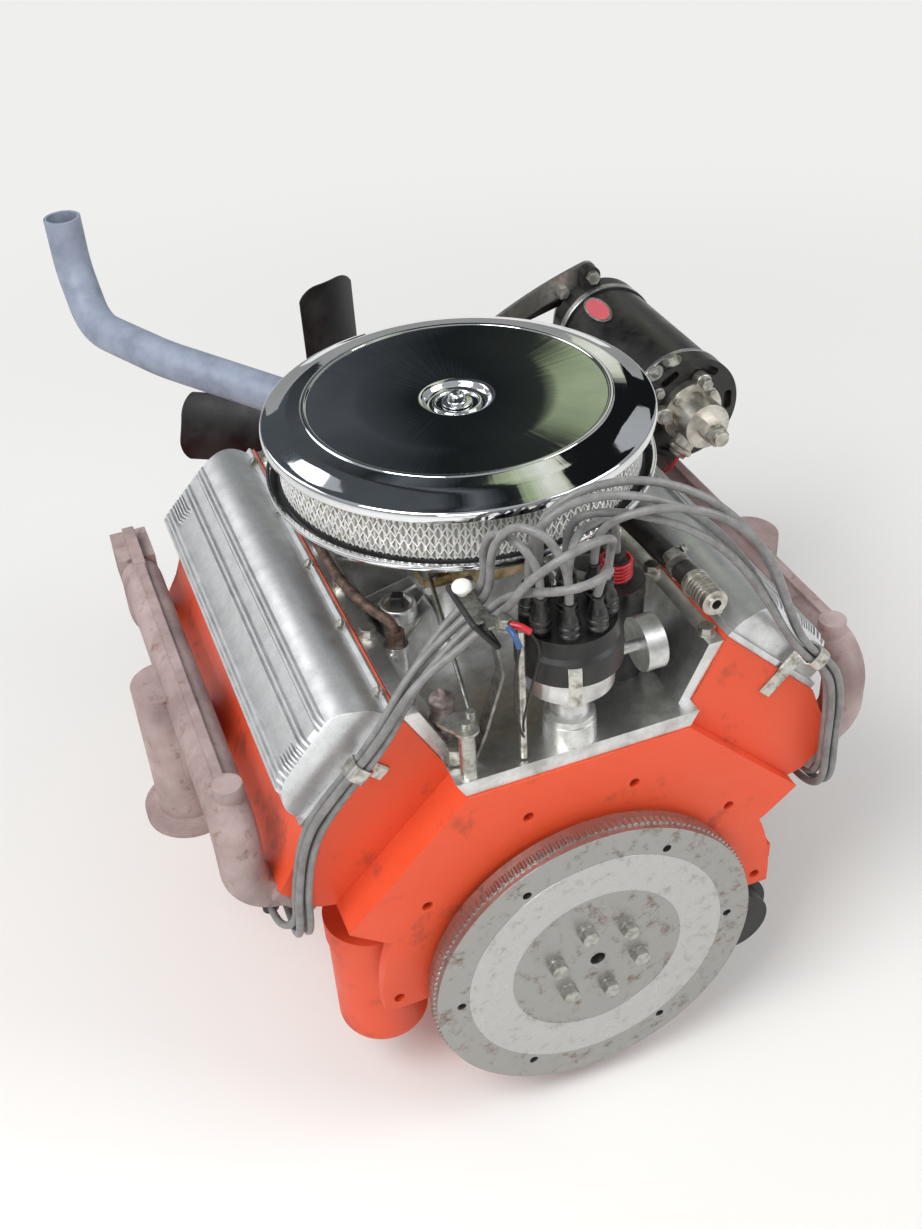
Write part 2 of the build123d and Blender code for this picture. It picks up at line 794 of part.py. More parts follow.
# Rise from the boots: x, y from the cap's centre, height above the boots
left_tops = [
    [
        (12, 30, 23.5), (17, 25, 43.5), (27, 18, 62.5), (43, -1, 63.5), (52, -12, 47.5),
        (56, -22, 24.5),
    ],
    [
        (-29, 16, 29.5), (-22, 37, 55.5), (0, 55, 71.5), (31, 58, 66.5), (54, 45, 42.5),
        (60, 29, 14.5),
    ],
    [
        (28.5, 13, 22.5), (35.5, 1, 40.5), (44.5, -19, 45.5), (51.5, -37, 34.5), (54, -43.5, 10.5),
    ],
    [
        (-15, 35, 27.5), (-10, 56, 42.5), (0, 70, 50.5), (20, 78, 51.5), (39, 68, 45.5),
        (46, 45, 32.5), (51, 15, 11.5),
    ],
]
right_tops = [
    [
        (12, -28, 29.5), (4, -23, 53.5), (-24, -17, 69.5), (-70, -9, 69.5), (-118, 3, 47.5),
        (-158, 13, 5.5), (-186, 18, -54.5),
    ],
    [
        (-29, -11, 27.5), (-46, 1, 47.5), (-84, 17, 55.5), (-128, 29, 37.5), (-166, 30, -8.5),
        (-188, 28, -66.5),
    ],
    [
        (28, -11, 29.5), (18, -6, 55.5), (-10, -3, 70.5), (-56, 0, 64.5), (-104, 9, 40.5),
        (-144, 15, -6.5), (-172, 19, -58.5),
    ],
    [
        (-12, -29, 27.5), (-26, -21, 43.5), (-62, -1, 43.5), (-104, 21, 27.5), (-140, 28, -10.5),
        (-170, 28, -61.5),
    ],
]
# Fall beside the bell housing: beyond the plug boots' line, back from the head, above that line
lead_falls = [
    [
        (-16.5, 10, 68), (-14.5, 9, 30),
    ],
    [
        (-17.5, 18, 68), (-14.5, 17, 24), (-13, 0, -2), (-14.5, -37, -8),
    ],
    [
        (-24.5, 10, 68), (-23.5, 9, 30), (-22, -8, 7), (-23.5, -47, 0.5), (-24.5, -97, -1),
        (-24.5, -152, -0.5),
    ],
    [
        (-25.5, 18, 68), (-23.5, 17, 20), (-22, -4, -5), (-23.5, -47, -9.5), (-24.5, -102, -11),
        (-24.5, -167, -11), (-23.5, -232, -10.5), (-22, -287, -9),
    ],
]
# Along the block to the plug's boot, measured from the boot's end
lead_homes = [
    [
        (-7.5, 34, 7), (-0.5, 18, 0.5),
    ],
    [
        (-14, 64.5, -7.5), (-11.5, 31.5, -4.5), (-1, 15.5, -0.5),
    ],
    [
        (-22, 63.5, 1), (-12.5, 35.5, 2), (-1, 16, 0.5),
    ],
    [
        (-16.5, 51, -6.5), (-7.5, 27, -3), (-0.5, 13, -0.5),
    ],
]


def bend_radii(points):
    """Radius of each corner: 0.45 of its shorter run over the tangent of half the turn."""
    radii = []
    for before, corner, after in zip(points, points[1:], points[2:]):
        arrive = corner - before
        leave = after - corner
        half_turn = radians(arrive.get_angle(leave)) / 2
        radii.append(0.45 * min(arrive.length, leave.length) / tan(half_turn))
    return radii


def clear_ends(points, radius):
    """Draws both ends back so that a slanted end lies on the boot's level face, not in it."""
    first = (points[1] - points[0]).normalized()
    last = (points[-2] - points[-1]).normalized()
    level = radius * sqrt(1 - first.Z**2) / first.Z
    lift = first * (level + touch)
    if abs(last.Z) > abs(last.Y):
        back = last * (radius * sqrt(1 - last.Z**2) / last.Z + touch)
    else:
        back = last * (radius * sqrt(1 - last.Y**2) / abs(last.Y) + touch)
    return [points[0] + lift] + points[1:-1] + [points[-1] + back]


def from_cap(x, back, rise):
    return Vector(x, distributor_y + back, boot_top + rise)


def above_head(u, back, rise):
    return bank_point(u, head_top + rise, left_head_rear + back)


def to_right(point):
    return Vector(-point.X, point.Y + bank_stagger, point.Z)


boot_line = bank_point(elbow_place, plug_height, 0)
comb_run = Vector(cos(radians(comb_tilt)), 0, -sin(radians(comb_tilt)))
cords = []
for row, plug_y in enumerate(cylinder_rows):
    boot_end = Vector(boot_line.X, plug_y + elbow_reach, boot_line.Z)
    fall = [Vector(boot_line.X + x, left_head_rear + y, boot_line.Z + z) for x, y, z in lead_falls[row]]
    home = [boot_end + Vector(*point) for point in lead_homes[row]] + [boot_end]

    tower_x, tower_y = towers[left_towers[row]]
    hole = Vector(comb_x, comb_holes[row], comb_z)
    rise = [from_cap(*point) for point in left_tops[row]]
    over = [above_head(u, cradle_back[row], left_rise[row]) for u in (left_across, -25)]
    left = [Vector(tower_x, tower_y, boot_top)] + rise
    left += [hole - comb_run * comb_reach, hole + comb_run * comb_reach, above_head(*beyond_comb[row])]
    left += over + [above_head(*left_bend[row])] + fall + home
    cords.append((f"lead_left_{row + 1}", clear_ends(left, lead_diameter / 2), lead_diameter / 2, 0))

    tower_x, tower_y = towers[right_towers[row]]
    rise = [from_cap(*point) for point in right_tops[row]]
    over = [to_right(above_head(u, cradle_back[row], right_rise[row])) for u in (right_across, 0)]
    right = [Vector(tower_x, tower_y, boot_top)] + rise
    right += over + [to_right(above_head(*right_bend[row]))] + [to_right(point) for point in fall + home]
    cords.append((f"lead_right_{row + 1}", clear_ends(right, lead_diameter / 2), lead_diameter / 2, 0))

# The coil's lead, from the coil behind the air cleaner to the cap's middle tower
coil_x = 38.43 - flank(floor_high)
coil_y = distributor_y - 63
coil_radius = 24.0
coil_top = cap_bottom + 10
coil_tower = coil_top + 20
coil_boot_top = coil_tower + 8
coil_lead_points = [
    Vector(coil_x, coil_y, coil_boot_top),
    Vector(coil_x + 1, coil_y + 2, boot_top - 18),
    from_cap(-67, -56, 4),
    from_cap(-53, -45, 16),
    from_cap(-35, -31, 22),
    from_cap(-17, -15, 31.5),
    from_cap(-3, -2, 22.5),
    Vector(0, distributor_y, boot_top),
]
cords.append(("coil_lead", clear_ends(coil_lead_points, lead_diameter / 2), lead_diameter / 2, 0))

# Heater hose, from the front water passage back under the air cleaner
heater_radius = 10.5
hose_height = cleaner_base - 57
heater_points = [
    Vector(nipple_x, thermostat_y, floor_high + 32),
    Vector(nipple_x, thermostat_y, hose_height - 5),
    Vector(nipple_x - 22, thermostat_y + 32, hose_height + 2),
    Vector(-130, -400, hose_height),
    Vector(-133, -345, hose_height - 2),
    Vector(-134, -285, hose_height),
    Vector(-136, -225, hose_height - 1),
    Vector(-138, -165, hose_height),
    Vector(-141, -110, hose_height + 1),
    Vector(-141, -72, hose_height + 3),
]
cords.append(("heater_hose", heater_points, heater_radius, heater_bore))

for name, points, radius, bore in cords:
    radii = bend_radii(points)
    with BuildPart() as cord:
        with BuildLine() as route:
            FilletPolyline(*points, radius=radii)
        with BuildSketch(Plane(origin=route.line @ 0, z_dir=route.line % 0)):
            Circle(radius)
            if bore:
                Circle(bore, mode=Mode.SUBTRACT)
        sweep()
    section = pi * (radius**2 - bore**2)
    length = route.wires()[0].length
    share = cord.part.volume / (section * length)
    print(name, "length", round(length), "volume share", round(share, 3))
    print("  radii", [round(value) for value in radii])
    save(name, cord)

# Comb for the left-hand leads, on a strap from the manifold's floor
comb_plane = Plane(origin=(comb_x, distributor_y - 19, comb_z), x_dir=(0, 1, 0), z_dir=tuple(comb_run))
comb_edge = comb_z + 14.5
strap_y = distributor_y + 1
strap_points = [
    (comb_x - 11, comb_z - 15.5),
    (comb_x - 16, cap_bottom - 4),
    (comb_x + 2, floor_high + 26),
    (comb_x + 12, floor_high + 1.6),
    (comb_x + 36, floor_high + 1.6),
]
with BuildPart() as lead_bracket:
    with BuildSketch(comb_plane):
        RectangleRounded(56, 36, 6)
        with Locations([(y - distributor_y + 19, 0) for y in comb_holes]):
            Circle(lead_diameter / 2 + lead_clearance, mode=Mode.SUBTRACT)
    extrude(amount=1.5, both=True)
    with BuildSketch(Plane.XY.offset(comb_edge - 1.5)):
        with Locations((comb_x + 3, distributor_y - 19)):
            RectangleRounded(18, 54, 4)
        with Locations((comb_x - 13, distributor_y + 19)):
            Circle(9)
        with Locations((comb_x - 4, distributor_y + 11)):
            Rectangle(10, 14)
    extrude(amount=2.5)
    with BuildSketch(Plane.XZ.offset(-strap_y)):
        with BuildLine():
            strap_line = Polyline(*strap_points)
        trace(strap_line, 2.6)
    extrude(amount=14)
save("lead_bracket", lead_bracket)

# Wire-form cradles on the heads' rear faces, one round each bundle
cradle_reach = 14.0
for name, u_low, rise in (("lead_cradle_left", -62, 10), ("lead_cradle_right", -32, 30)):
    across = Plane(origin=tuple(bank_point(u_low, 0, 0)), x_dir=(0, 1, 0), z_dir=(slope, 0, -slope))
    with BuildPart() as cradle:
        with BuildSketch(across):
            with Locations((left_head_rear + cradle_reach, head_top + rise)):
                RectangleRounded(20, 20, 6)
                RectangleRounded(16.4, 16.4, 4.4, mode=Mode.SUBTRACT)
            with Locations((left_head_rear, head_top - 26)):
                Rectangle(2.2, rise + 18, align=(Align.MIN, Align.MIN))
            with Locations((left_head_rear, head_top + rise - 10)):
                Rectangle(cradle_reach, 1.8, align=(Align.MIN, Align.MIN))
        extrude(amount=14)
    if name.endswith("right"):
        with BuildPart() as cradle_right:
            add(right_of(cradle.part))
        save(name, cradle_right)
    else:
        save(name, cradle)

# Ignition coil upright behind the air cleaner, in a clamp on the manifold's floor
with BuildPart() as ignition_coil:
    with Locations((coil_x, coil_y, floor_high)):
        Box(2 * coil_radius + 4, 30, 8, align=standing)
        Cylinder(coil_radius, coil_top - floor_high - 12, align=standing)
    with Locations((coil_x, coil_y, coil_top - 12)):
        Cylinder(coil_radius + 1.2, 12, align=standing)
    with Locations((coil_x, coil_y, (floor_high + coil_top) / 2 - 8)):
        Cylinder(coil_radius + 1.5, 18)
    with Locations((coil_x, coil_y, coil_top)):
        Cylinder(11, coil_tower - coil_top, align=standing)
    with Locations((coil_x, coil_y, coil_tower)):
        Cylinder(8, coil_boot_top - coil_tower, align=standing)
save("ignition_coil", ignition_coil)

# Fitting at the rear end of the heater hose, with a ribbed collar
fitting_end = heater_points[-1]
fitting_aim = (heater_points[-1] - heater_points[-2]).normalized()
fitting_side = fitting_aim.cross(Vector(0, 0, 1)).normalized()
fitting_plane = Plane(origin=tuple(fitting_end), x_dir=tuple(fitting_side), z_dir=tuple(fitting_aim))
with BuildPart() as heater_fitting:
    with BuildSketch(fitting_plane.offset(-20)):
        Circle(heater_bore - seat_gap)
    extrude(amount=60)
    for start, length, radius in ((0.3, 5, 13), (5.3, 26, 10.5), (31.3, 6, 12)):
        with BuildSketch(fitting_plane.offset(start)):
            Circle(radius)
        extrude(amount=length)
    for k in range(5):
        with BuildSketch(fitting_plane.offset(8 + 4.6 * k)):
            Circle(12)
        extrude(amount=2.4)
    with BuildSketch(fitting_plane.offset(-20)):
        Circle(4.5)
    extrude(amount=60, mode=Mode.SUBTRACT)
save("heater_fitting", heater_fitting)

# Vacuum pipe of rusty steel, from the rear left runner forward to the carburettor
pipe_radius = 4.75
pipe_z = carb_pad_height + 8
pipe_foot = Vector(pipe_boss_x, left_head_mid + pipe_boss_back, floor_high + pipe_boss_rise)
pipe_points = [
    pipe_foot,
    pipe_foot + Vector(0, 0, 21),
    Vector(129, left_head_mid + 94, pipe_z + 2),
    Vector(136, left_head_mid + 52, pipe_z),
    Vector(138, left_head_mid, pipe_z),
    Vector(137, left_head_mid - 42, pipe_z + 2),
    Vector(122, left_head_mid - 72, pipe_z + 12),
    Vector(92, carb_centre - bowl_place, pipe_z + 19),
    Vector(bowl_half + 9, carb_centre - bowl_place, pipe_z + 20),
]
with BuildPart() as vacuum_pipe:
    with BuildLine() as route:
        FilletPolyline(*pipe_points, radius=bend_radii(pipe_points))
    with BuildSketch(Plane(origin=route.line @ 0, z_dir=route.line % 0)):
        Circle(pipe_radius)
    sweep()
    with BuildSketch(Plane.YZ.offset(bowl_half + seat_gap)):
        with Locations((carb_centre - bowl_place, pipe_z + 20)):
            RegularPolygon(9, 6)
    extrude(amount=12)
    with BuildSketch(Plane.XY.offset(pipe_foot.Z)):
        with Locations((pipe_foot.X, pipe_foot.Y)):
            RegularPolygon(8.5, 6)
    extrude(amount=14)
save("vacuum_pipe", vacuum_pipe)

# Throttle lever on a post, with its rod to the carburettor
lever_x = 98.0
lever_y = left_head_rear + 28
lever_z = floor_high + 50
rod_start = Vector(lever_x - 8, lever_y - 10, lever_z + 6)
rod_end = Vector(62, carb_centre + 66, carb_pad_height + 18)
rod_aim = rod_end - rod_start
with BuildPart() as throttle_linkage:
    with Locations((lever_x, lever_y, floor_high)):
        Cylinder(7, lever_z - floor_high, align=standing)
    with BuildSketch(Plane.XY.offset(lever_z)):
        with Locations((lever_x, lever_y)):
            Circle(11)
        Polygon(
            (lever_x - 6, lever_y + 8),
            (lever_x - 16, lever_y - 14),
            (lever_x + 2, lever_y - 22),
            (lever_x + 20, lever_y - 14),
            (lever_x + 9, lever_y + 4),
            align=None,
        )
    extrude(amount=3)
    with Locations((lever_x, lever_y, lever_z)):
        Cylinder(4, 9, align=standing)
    with Locations(tuple(rod_start)):
        Cylinder(4, 8)
    with BuildSketch(Plane(origin=tuple(rod_start), z_dir=tuple(rod_aim))):
        Circle(2)
    extrude(amount=rod_aim.length)
    with Locations(tuple(rod_end)):
        Sphere(5)
    with BuildSketch(Plane.YZ.offset(52 + seat_gap)):
        with Locations((rod_end.Y, rod_end.Z)):
            Circle(3)
    extrude(amount=rod_end.X - 52)
save("throttle_linkage", throttle_linkage)

# Exhaust manifolds: four runners that rise into one horn, with the outlet at its middle
port_outer = 1.5 * bore_pitch + port_spread
port_ends = [left_head_mid - port_outer, left_head_mid + port_outer]
port_z = slope * (port_height - head_face)
port_x = slope * (port_height + head_face)
horn_route = [
    (port_x - 4, port_ends[0], port_z),
    (horn_x, port_ends[0], port_z),
    (horn_x, port_ends[0], horn_z),
    (horn_x, port_ends[1], horn_z),
    (horn_x, port_ends[1], port_z),
    (port_x - 4, port_ends[1], port_z),
]
horn_bend = min(30.0, 0.8 * (horn_x - port_x))
port_flange = 11.0
head_slab = Plane(origin=tuple(bank_point(head_face, 0, 0)), x_dir=(0, 1, 0), z_dir=(slope, 0, -slope))
with BuildPart() as exhaust_manifold_left:
    with BuildLine():
        FilletPolyline(*horn_route, radius=horn_bend)
    with BuildSketch(Plane(origin=horn_route[0], x_dir=(0, 1, 0), z_dir=(1, 0, 0))):
        Circle(runner_radius)
    sweep()
    # Paired middle runners, outlet pipe and its flange
    with Locations((horn_x - 22, left_head_mid, port_z)):
        Box(60, 2 * (port_inner + runner_radius), 36)
    with Locations((horn_x, left_head_mid, (port_z + horn_z) / 2)):
        Box(36, 2 * (port_inner + runner_radius) - 6, horn_z - port_z + 20)
    with Locations((outlet_x, left_head_mid, outlet_bottom)):
        Cylinder(outlet_radius, horn_z + 6 - outlet_bottom, align=standing)
        Cylinder(outlet_radius + 14, 12, align=standing)
    # Bracket pad at the front end, its gusset, and the rib along the top
    with Locations((horn_x, port_ends[0] - 22, horn_z - 6)):
        Box(38, 56, 44)
    with BuildSketch(Plane.YZ.offset(horn_x - 6)):
        Polygon(
            (port_ends[0] - 34, horn_z + 16),
            (port_ends[0] + 72, horn_z + 16),
            (port_ends[0] - 8, horn_z + 30),
            (port_ends[0] - 34, horn_z + 30),
            align=None,
        )
    extrude(amount=12)
    with Locations((horn_x, left_head_mid, horn_z + runner_radius)):
        Box(9, 2 * port_outer - 60, 9)
    # Boss of the heat shield's bolt on the rear bend
    with Locations(Location((horn_x - 4, port_ends[1] - 22, horn_z), (0, 0, 0))):
        Cylinder(13, 29, align=standing)
    # Nothing of the casting reaches inside the head's face; port flanges lie on it
    with BuildSketch(head_slab):
        with Locations((0, deck_height + 30)):
            Rectangle(3 * head_length, 72)
    extrude(amount=-60, mode=Mode.SUBTRACT)
    with BuildSketch(head_slab):
        for y in port_ends:
            with Locations((y, port_height)):
                Rectangle(52, 42)
        with Locations((left_head_mid, port_height)):
            Rectangle(2 * (port_inner + runner_radius) + 3, 42)
    extrude(amount=port_flange)
    with Locations((outlet_x, left_head_mid, outlet_bottom)):
        Cylinder(outlet_bore, 45, align=standing, mode=Mode.SUBTRACT)
save("exhaust_manifold_left", exhaust_manifold_left)
with BuildPart() as exhaust_manifold_right:
    add(right_of(exhaust_manifold_left.part))
save("exhaust_manifold_right", exhaust_manifold_right)

# Engine mounts on the block's side pads
mount_plate = 10.0
mount_reach = 208.0
mount_z = 38.0
mount_bore = 6.5
mount_half = 26.0
with BuildPart() as engine_mount_left:
    with Locations((mount_pad_x, mount_y, mount_z)):
        Box(mount_plate, 86, 40, align=(Align.MIN, Align.CENTER, Align.CENTER))
    with BuildSketch(Plane.XZ.offset(-mount_y - mount_half)):
        with Locations((mount_reach, mount_z)):
            Circle(19)
        with Locations(((mount_reach + mount_pad_x) / 2, mount_z)):
            Rectangle(mount_reach - mount_pad_x, 38)
    extrude(amount=2 * mount_half)
    with BuildSketch(Plane.XZ.offset(-mount_y - mount_half)):
        with Locations((mount_reach, mount_z)):
            Circle(mount_bore)
    extrude(amount=2 * mount_half, mode=Mode.SUBTRACT)
save("engine_mount_left", engine_mount_left)
with BuildPart() as engine_mount_right:
    add(mirror(engine_mount_left.part, about=Plane.YZ, mode=Mode.PRIVATE))
save("engine_mount_right", engine_mount_right)

# Water pump: body between two legs on the block's front, with the shaft housing
arm_start = (-36, pump_axis + 36)
pump_leg_x = 84.0
pump_leg_z = 146.0
inlet_radius = 22.0
with BuildPart() as water_pump:
    for side in (-1, 1):
        with BuildSketch(Plane.XZ.offset(block_length)):
            with Locations((side * pump_leg_x, pump_leg_z)):
                RectangleRounded(44, 62, 12)
        extrude(amount=50)
    with BuildSketch(Plane.XZ.offset(block_length + 22)):
        with Locations((0, 172)):
            Rectangle(2 * pump_leg_x + 24, 40)
        with Locations((0, pump_axis)):
            Circle(48)
    extrude(amount=34)
    with BuildSketch(Plane.XZ.offset(block_length + 22)):
        with Locations((0, pump_axis)):
            Circle(24)
    extrude(amount=-pump_snout_end - block_length - 22)
    with Locations(Location((-pump_leg_x - 22, -block_length - 25, pump_leg_z), (0, -90, 0))):
        Cylinder(inlet_radius, 34, align=standing)
    # Boss that holds the generator's adjusting arm
    with BuildSketch(Plane.XZ.offset(block_length + 30)):
        with Locations(arm_start):
            Circle(10)
    extrude(amount=-generator_front + 2 - block_length - 30)
    with BuildSketch(Plane.XZ.offset(-pump_snout_end - shaft_depth)):
        with Locations((0, pump_axis)):
            Circle(shaft_radius + running_clearance)
    extrude(amount=shaft_depth, mode=Mode.SUBTRACT)
save("water_pump", water_pump)

# Pulleys: turned profiles with one belt groove each
groove_half = belt_width / 2 + groove_clearance
pulley_half = groove_half + rim_thick


def pulley_profile(groove, front, rear, hub):
    """Half-section of a pulley about its shaft, from its hub out to its rims."""
    rim = groove + rim_height
    return [
        (0, rear),
        (hub, rear),
        (hub, belt_plane + pulley_half),
        (rim, belt_plane + pulley_half),
        (rim, belt_plane + groove_half),
        (groove, belt_plane + groove_half),
        (groove, belt_plane - groove_half),
        (rim, belt_plane - groove_half),
        (rim, belt_plane - pulley_half),
        (hub, belt_plane - pulley_half),
        (hub, front),
        (0, front),
    ]


damper_radius = 84.0
damper_rear = timing_cover_front - 5
damper_thick = 42.0
with BuildPart() as crank_pulley:
    with BuildSketch(Plane.XY):
        Polygon(*pulley_profile(crank_groove_radius, belt_plane - 12, timing_cover_front, 34), align=None)
        with Locations((damper_radius / 2, damper_rear - damper_thick / 2)):
            Rectangle(damper_radius, damper_thick)
        with Locations((front_seal_radius / 2, timing_cover_front + 6)):
            Rectangle(front_seal_radius, 16)
    revolve(axis=Axis.Y)
save("crank_pulley", crank_pulley)

with BuildPart() as pump_pulley:
    with BuildSketch(Plane.XY.offset(pump_axis)):
        Polygon(*pulley_profile(pump_groove_radius, belt_plane - 22, pump_snout_end - 4, 30), align=None)
        with Locations((shaft_radius / 2, pump_snout_end + 5)):
            Rectangle(shaft_radius, 22)
    revolve(axis=Axis((0, 0, pump_axis), (0, 1, 0)))
save("pump_pulley", pump_pulley)

with BuildPart() as generator_pulley:
    with BuildSketch(Plane(origin=(generator_x, 0, generator_z), x_dir=(1, 0, 0), z_dir=(0, 0, 1))):
        Polygon(
            *pulley_profile(generator_groove_radius, belt_plane - 14, generator_front - 5, 20), align=None
        )
        with Locations((shaft_radius / 2, generator_front + 5)):
            Rectangle(shaft_radius, 24)
    revolve(axis=Axis((generator_x, 0, generator_z), (0, 1, 0)))
save("generator_pulley", generator_pulley)

# Belt: one closed loop round the three pulleys
pulleys = [
    (0, 0, crank_groove_radius),
    (0, pump_axis, pump_groove_radius),
    (generator_x, generator_z, generator_groove_radius),
]
with BuildPart() as drive_belt:
    with BuildSketch(Plane.XZ.offset(-belt_plane - belt_width / 2)) as loop:
        with BuildSketch(mode=Mode.PRIVATE) as inner:
            for x, z, radius in pulleys:
                with Locations((x, z)):
                    Circle(radius + groove_clearance)
            make_hull()
        with BuildSketch(mode=Mode.PRIVATE) as outer:
            for x, z, radius in pulleys:
                with Locations((x, z)):
                    Circle(radius + groove_clearance + belt_depth)
            make_hull()
        add(outer.sketch)
        add(inner.sketch, mode=Mode.SUBTRACT)
    extrude(amount=belt_width)
save("drive_belt", drive_belt)

# Fan: clutch with cooling fins and five pitched blades
clutch_rear = belt_plane - 22
clutch_radius = 62.0
clutch_front = fan_plane - 20
blade_root = 70.0
blade_chord = 76.0
blade_camber = 8.0
blade_thick = 2.2
spider_radius = 92.0
clutch_fin_count = 18
with BuildPart() as fan_clutch:
    with BuildSketch(Plane.XZ.offset(-clutch_rear)):
        with Locations((0, pump_axis)):
            Circle(26)
    extrude(amount=22)
    with BuildSketch(Plane.XZ.offset(-clutch_rear + 22)):
        with Locations((0, pump_axis)):
            Circle(clutch_radius)
    extrude(amount=-clutch_front + clutch_rear - 22)
    # Radial cooling fins on the front face, and the bimetal coil's boss
    with BuildSketch(Plane.XZ.offset(-clutch_front)):
        with Locations((0, pump_axis)):
            Circle(20)
            with PolarLocations(41, clutch_fin_count):
                Rectangle(34, 2.4)
    extrude(amount=8)
save("fan_clutch", fan_clutch)

blade_line_z = pump_axis + blade_root + 10
blade_reach = blade_chord / 2 * cos(radians(fan_blade_pitch))
blade_rise = blade_chord / 2 * sin(radians(fan_blade_pitch))
with BuildPart() as blade:
    with BuildSketch(Plane.XY.offset(blade_line_z)):
        with BuildLine(mode=Mode.PRIVATE) as camber_line:
            SagittaArc(
                (-blade_reach, fan_plane - blade_rise),
                (blade_reach, fan_plane + blade_rise),
                blade_camber,
            )
        SlotArc(camber_line.edges()[0], blade_thick)
    extrude(amount=fan_radius - blade_root - 10)
    # Rounded tip, cut through the blade along the shaft
    with BuildSketch(Plane.XZ):
        with Locations((0, pump_axis + fan_radius / 2)):
            RectangleRounded(blade_chord, fan_radius, 26)
    extrude(amount=2 * block_length, mode=Mode.INTERSECT)

with BuildPart() as fan_blades:
    with BuildSketch(Plane.XZ.offset(-fan_plane - 2)):
        with Locations((0, pump_axis)):
            Circle(spider_radius)
            Circle(clutch_radius + seat_gap, mode=Mode.SUBTRACT)
    extrude(amount=4)
    for k in range(fan_blade_count):
        add(blade.part.rotate(Axis((0, 0, pump_axis), (0, 1, 0)), 360 / fan_blade_count * k))
save("fan_blades", fan_blades)

# Generator with its pivot lugs and the lug for the adjusting arm
pivot_x = generator_x + 43
pivot_z = generator_z - 62
lug_radius = 11.0
lug_thick = 14.0
head_right_front = left_head_rear + bank_stagger - head_length
rear_lug_front = head_right_front - 22.4
lug_places = [(generator_front, lug_thick), (rear_lug_front, lug_thick)]
arm_end = (generator_x + 12, generator_z + 68)
band_depth = 2.0
with BuildPart() as generator_body:
    with BuildSketch(Plane.XZ.offset(-generator_front)):
        with Locations((generator_x, generator_z)):
            Circle(generator_radius)
    extrude(amount=-generator_length)
    # The field frame between the two end frames is a little smaller
    with BuildSketch(Plane.XZ.offset(-generator_front - 30)):
        with Locations((generator_x, generator_z)):
            Circle(generator_radius)
            Circle(generator_radius - band_depth, mode=Mode.SUBTRACT)
    extrude(amount=-(generator_length - 56), mode=Mode.SUBTRACT)
    # Cooling slots of the rear end frame
    with BuildSketch(Plane.XZ.offset(-generator_rear)):
        with Locations((generator_x, generator_z)):
            with PolarLocations(47, 6):
                RectangleRounded(9, 22, 4)
    extrude(amount=8, mode=Mode.SUBTRACT)
    for front, thick in lug_places:
        with BuildSketch(Plane.XZ.offset(-front)):
            with Locations((pivot_x, pivot_z)):
                Circle(lug_radius)
            Polygon(
                (pivot_x - 9, pivot_z + 7),
                (pivot_x + 8, pivot_z - 8),
                (generator_x + 50, generator_z - 20),
                (generator_x + 16, generator_z - 52),
                align=None,
            )
        extrude(amount=-thick)
    with BuildSketch(Plane.XZ.offset(-generator_front + 2)):
        with Locations(arm_end):
            Circle(lug_radius)
        with Locations((arm_end[0], arm_end[1] - 10)):
            Rectangle(2 * lug_radius, 22)
    extrude(amount=-14)
    with BuildSketch(Plane.XZ.offset(-generator_front - shaft_depth)):
        with Locations((generator_x, generator_z)):
            Circle(shaft_radius + running_clearance)
    extrude(amount=shaft_depth, mode=Mode.SUBTRACT)
save("generator_body", generator_body)

# Bracket from the right head's front face to the generator's lugs
barrel_front = generator_front + lug_thick + seat_gap
barrel_rear = rear_lug_front - seat_gap
bracket_plate = 8.0
bracket_outline = [
    # across the deck, up from the deck
    (20, 5),
    (58, 41),
    (25, 85),
    (-3, 88),
    (-21, 69),
    (-7, 32),
]
rail_x = pivot_x + 35
rail_z = pivot_z - 20
with BuildPart() as generator_bracket:
    with BuildSketch(right_plane(head_right_front)):
        Polygon(*[(u, deck_height + n) for u, n in bracket_outline], align=None)
    extrude(amount=-bracket_plate)
    with BuildSketch(Plane.XZ.offset(-head_right_front + bracket_plate)):
        with Locations((rail_x, rail_z)):
            Rectangle(26, 22)
    extrude(amount=-barrel_front + head_right_front - bracket_plate)
    with BuildSketch(Plane.XZ.offset(-barrel_rear)):
        with Locations((pivot_x, pivot_z)):
            Circle(lug_radius)
        Polygon(
            (rail_x + 13, rail_z - 11),
            (rail_x + 13, rail_z + 11),
            (pivot_x + 4, pivot_z + 9),
            (pivot_x - 4, pivot_z - 9),
            align=None,
        )
    extrude(amount=barrel_rear - barrel_front)
save("generator_bracket", generator_bracket)

# Slotted arm that sets the belt's tension
arm_thick = 4.0
arm_bow = 19.7
with BuildPart() as adjusting_arm:
    with BuildSketch(Plane.XZ.offset(-generator_front + 2)):
        with BuildLine(mode=Mode.PRIVATE) as arm_line:
            SagittaArc(arm_start, arm_end, -arm_bow)
        SlotArc(arm_line.edges()[0], 24)
    extrude(amount=arm_thick)
save("adjusting_arm", adjusting_arm)

# Revolution counter drive on the generator's rear end
tach_radius = 25.0
with BuildPart() as tach_drive:
    with BuildSketch(Plane.XZ.offset(-generator_rear)):
        with Locations((generator_x, generator_z)):
            Circle(34)
    extrude(amount=-10)
    with BuildSketch(Plane.XZ.offset(-generator_rear - 10)):
        with Locations((generator_x, generator_z)):
            Circle(tach_radius)
    extrude(amount=-32)
    with BuildSketch(Plane.XZ.offset(-generator_rear - 42)):
        with Locations((generator_x, generator_z)):
            RegularPolygon(13, 6)
    extrude(amount=-16)
    with BuildSketch(Plane.XZ.offset(-generator_rear - 58)):
        with Locations((generator_x, generator_z)):
            Circle(8)
    extrude(amount=-14)
save("tach_drive", tach_drive)

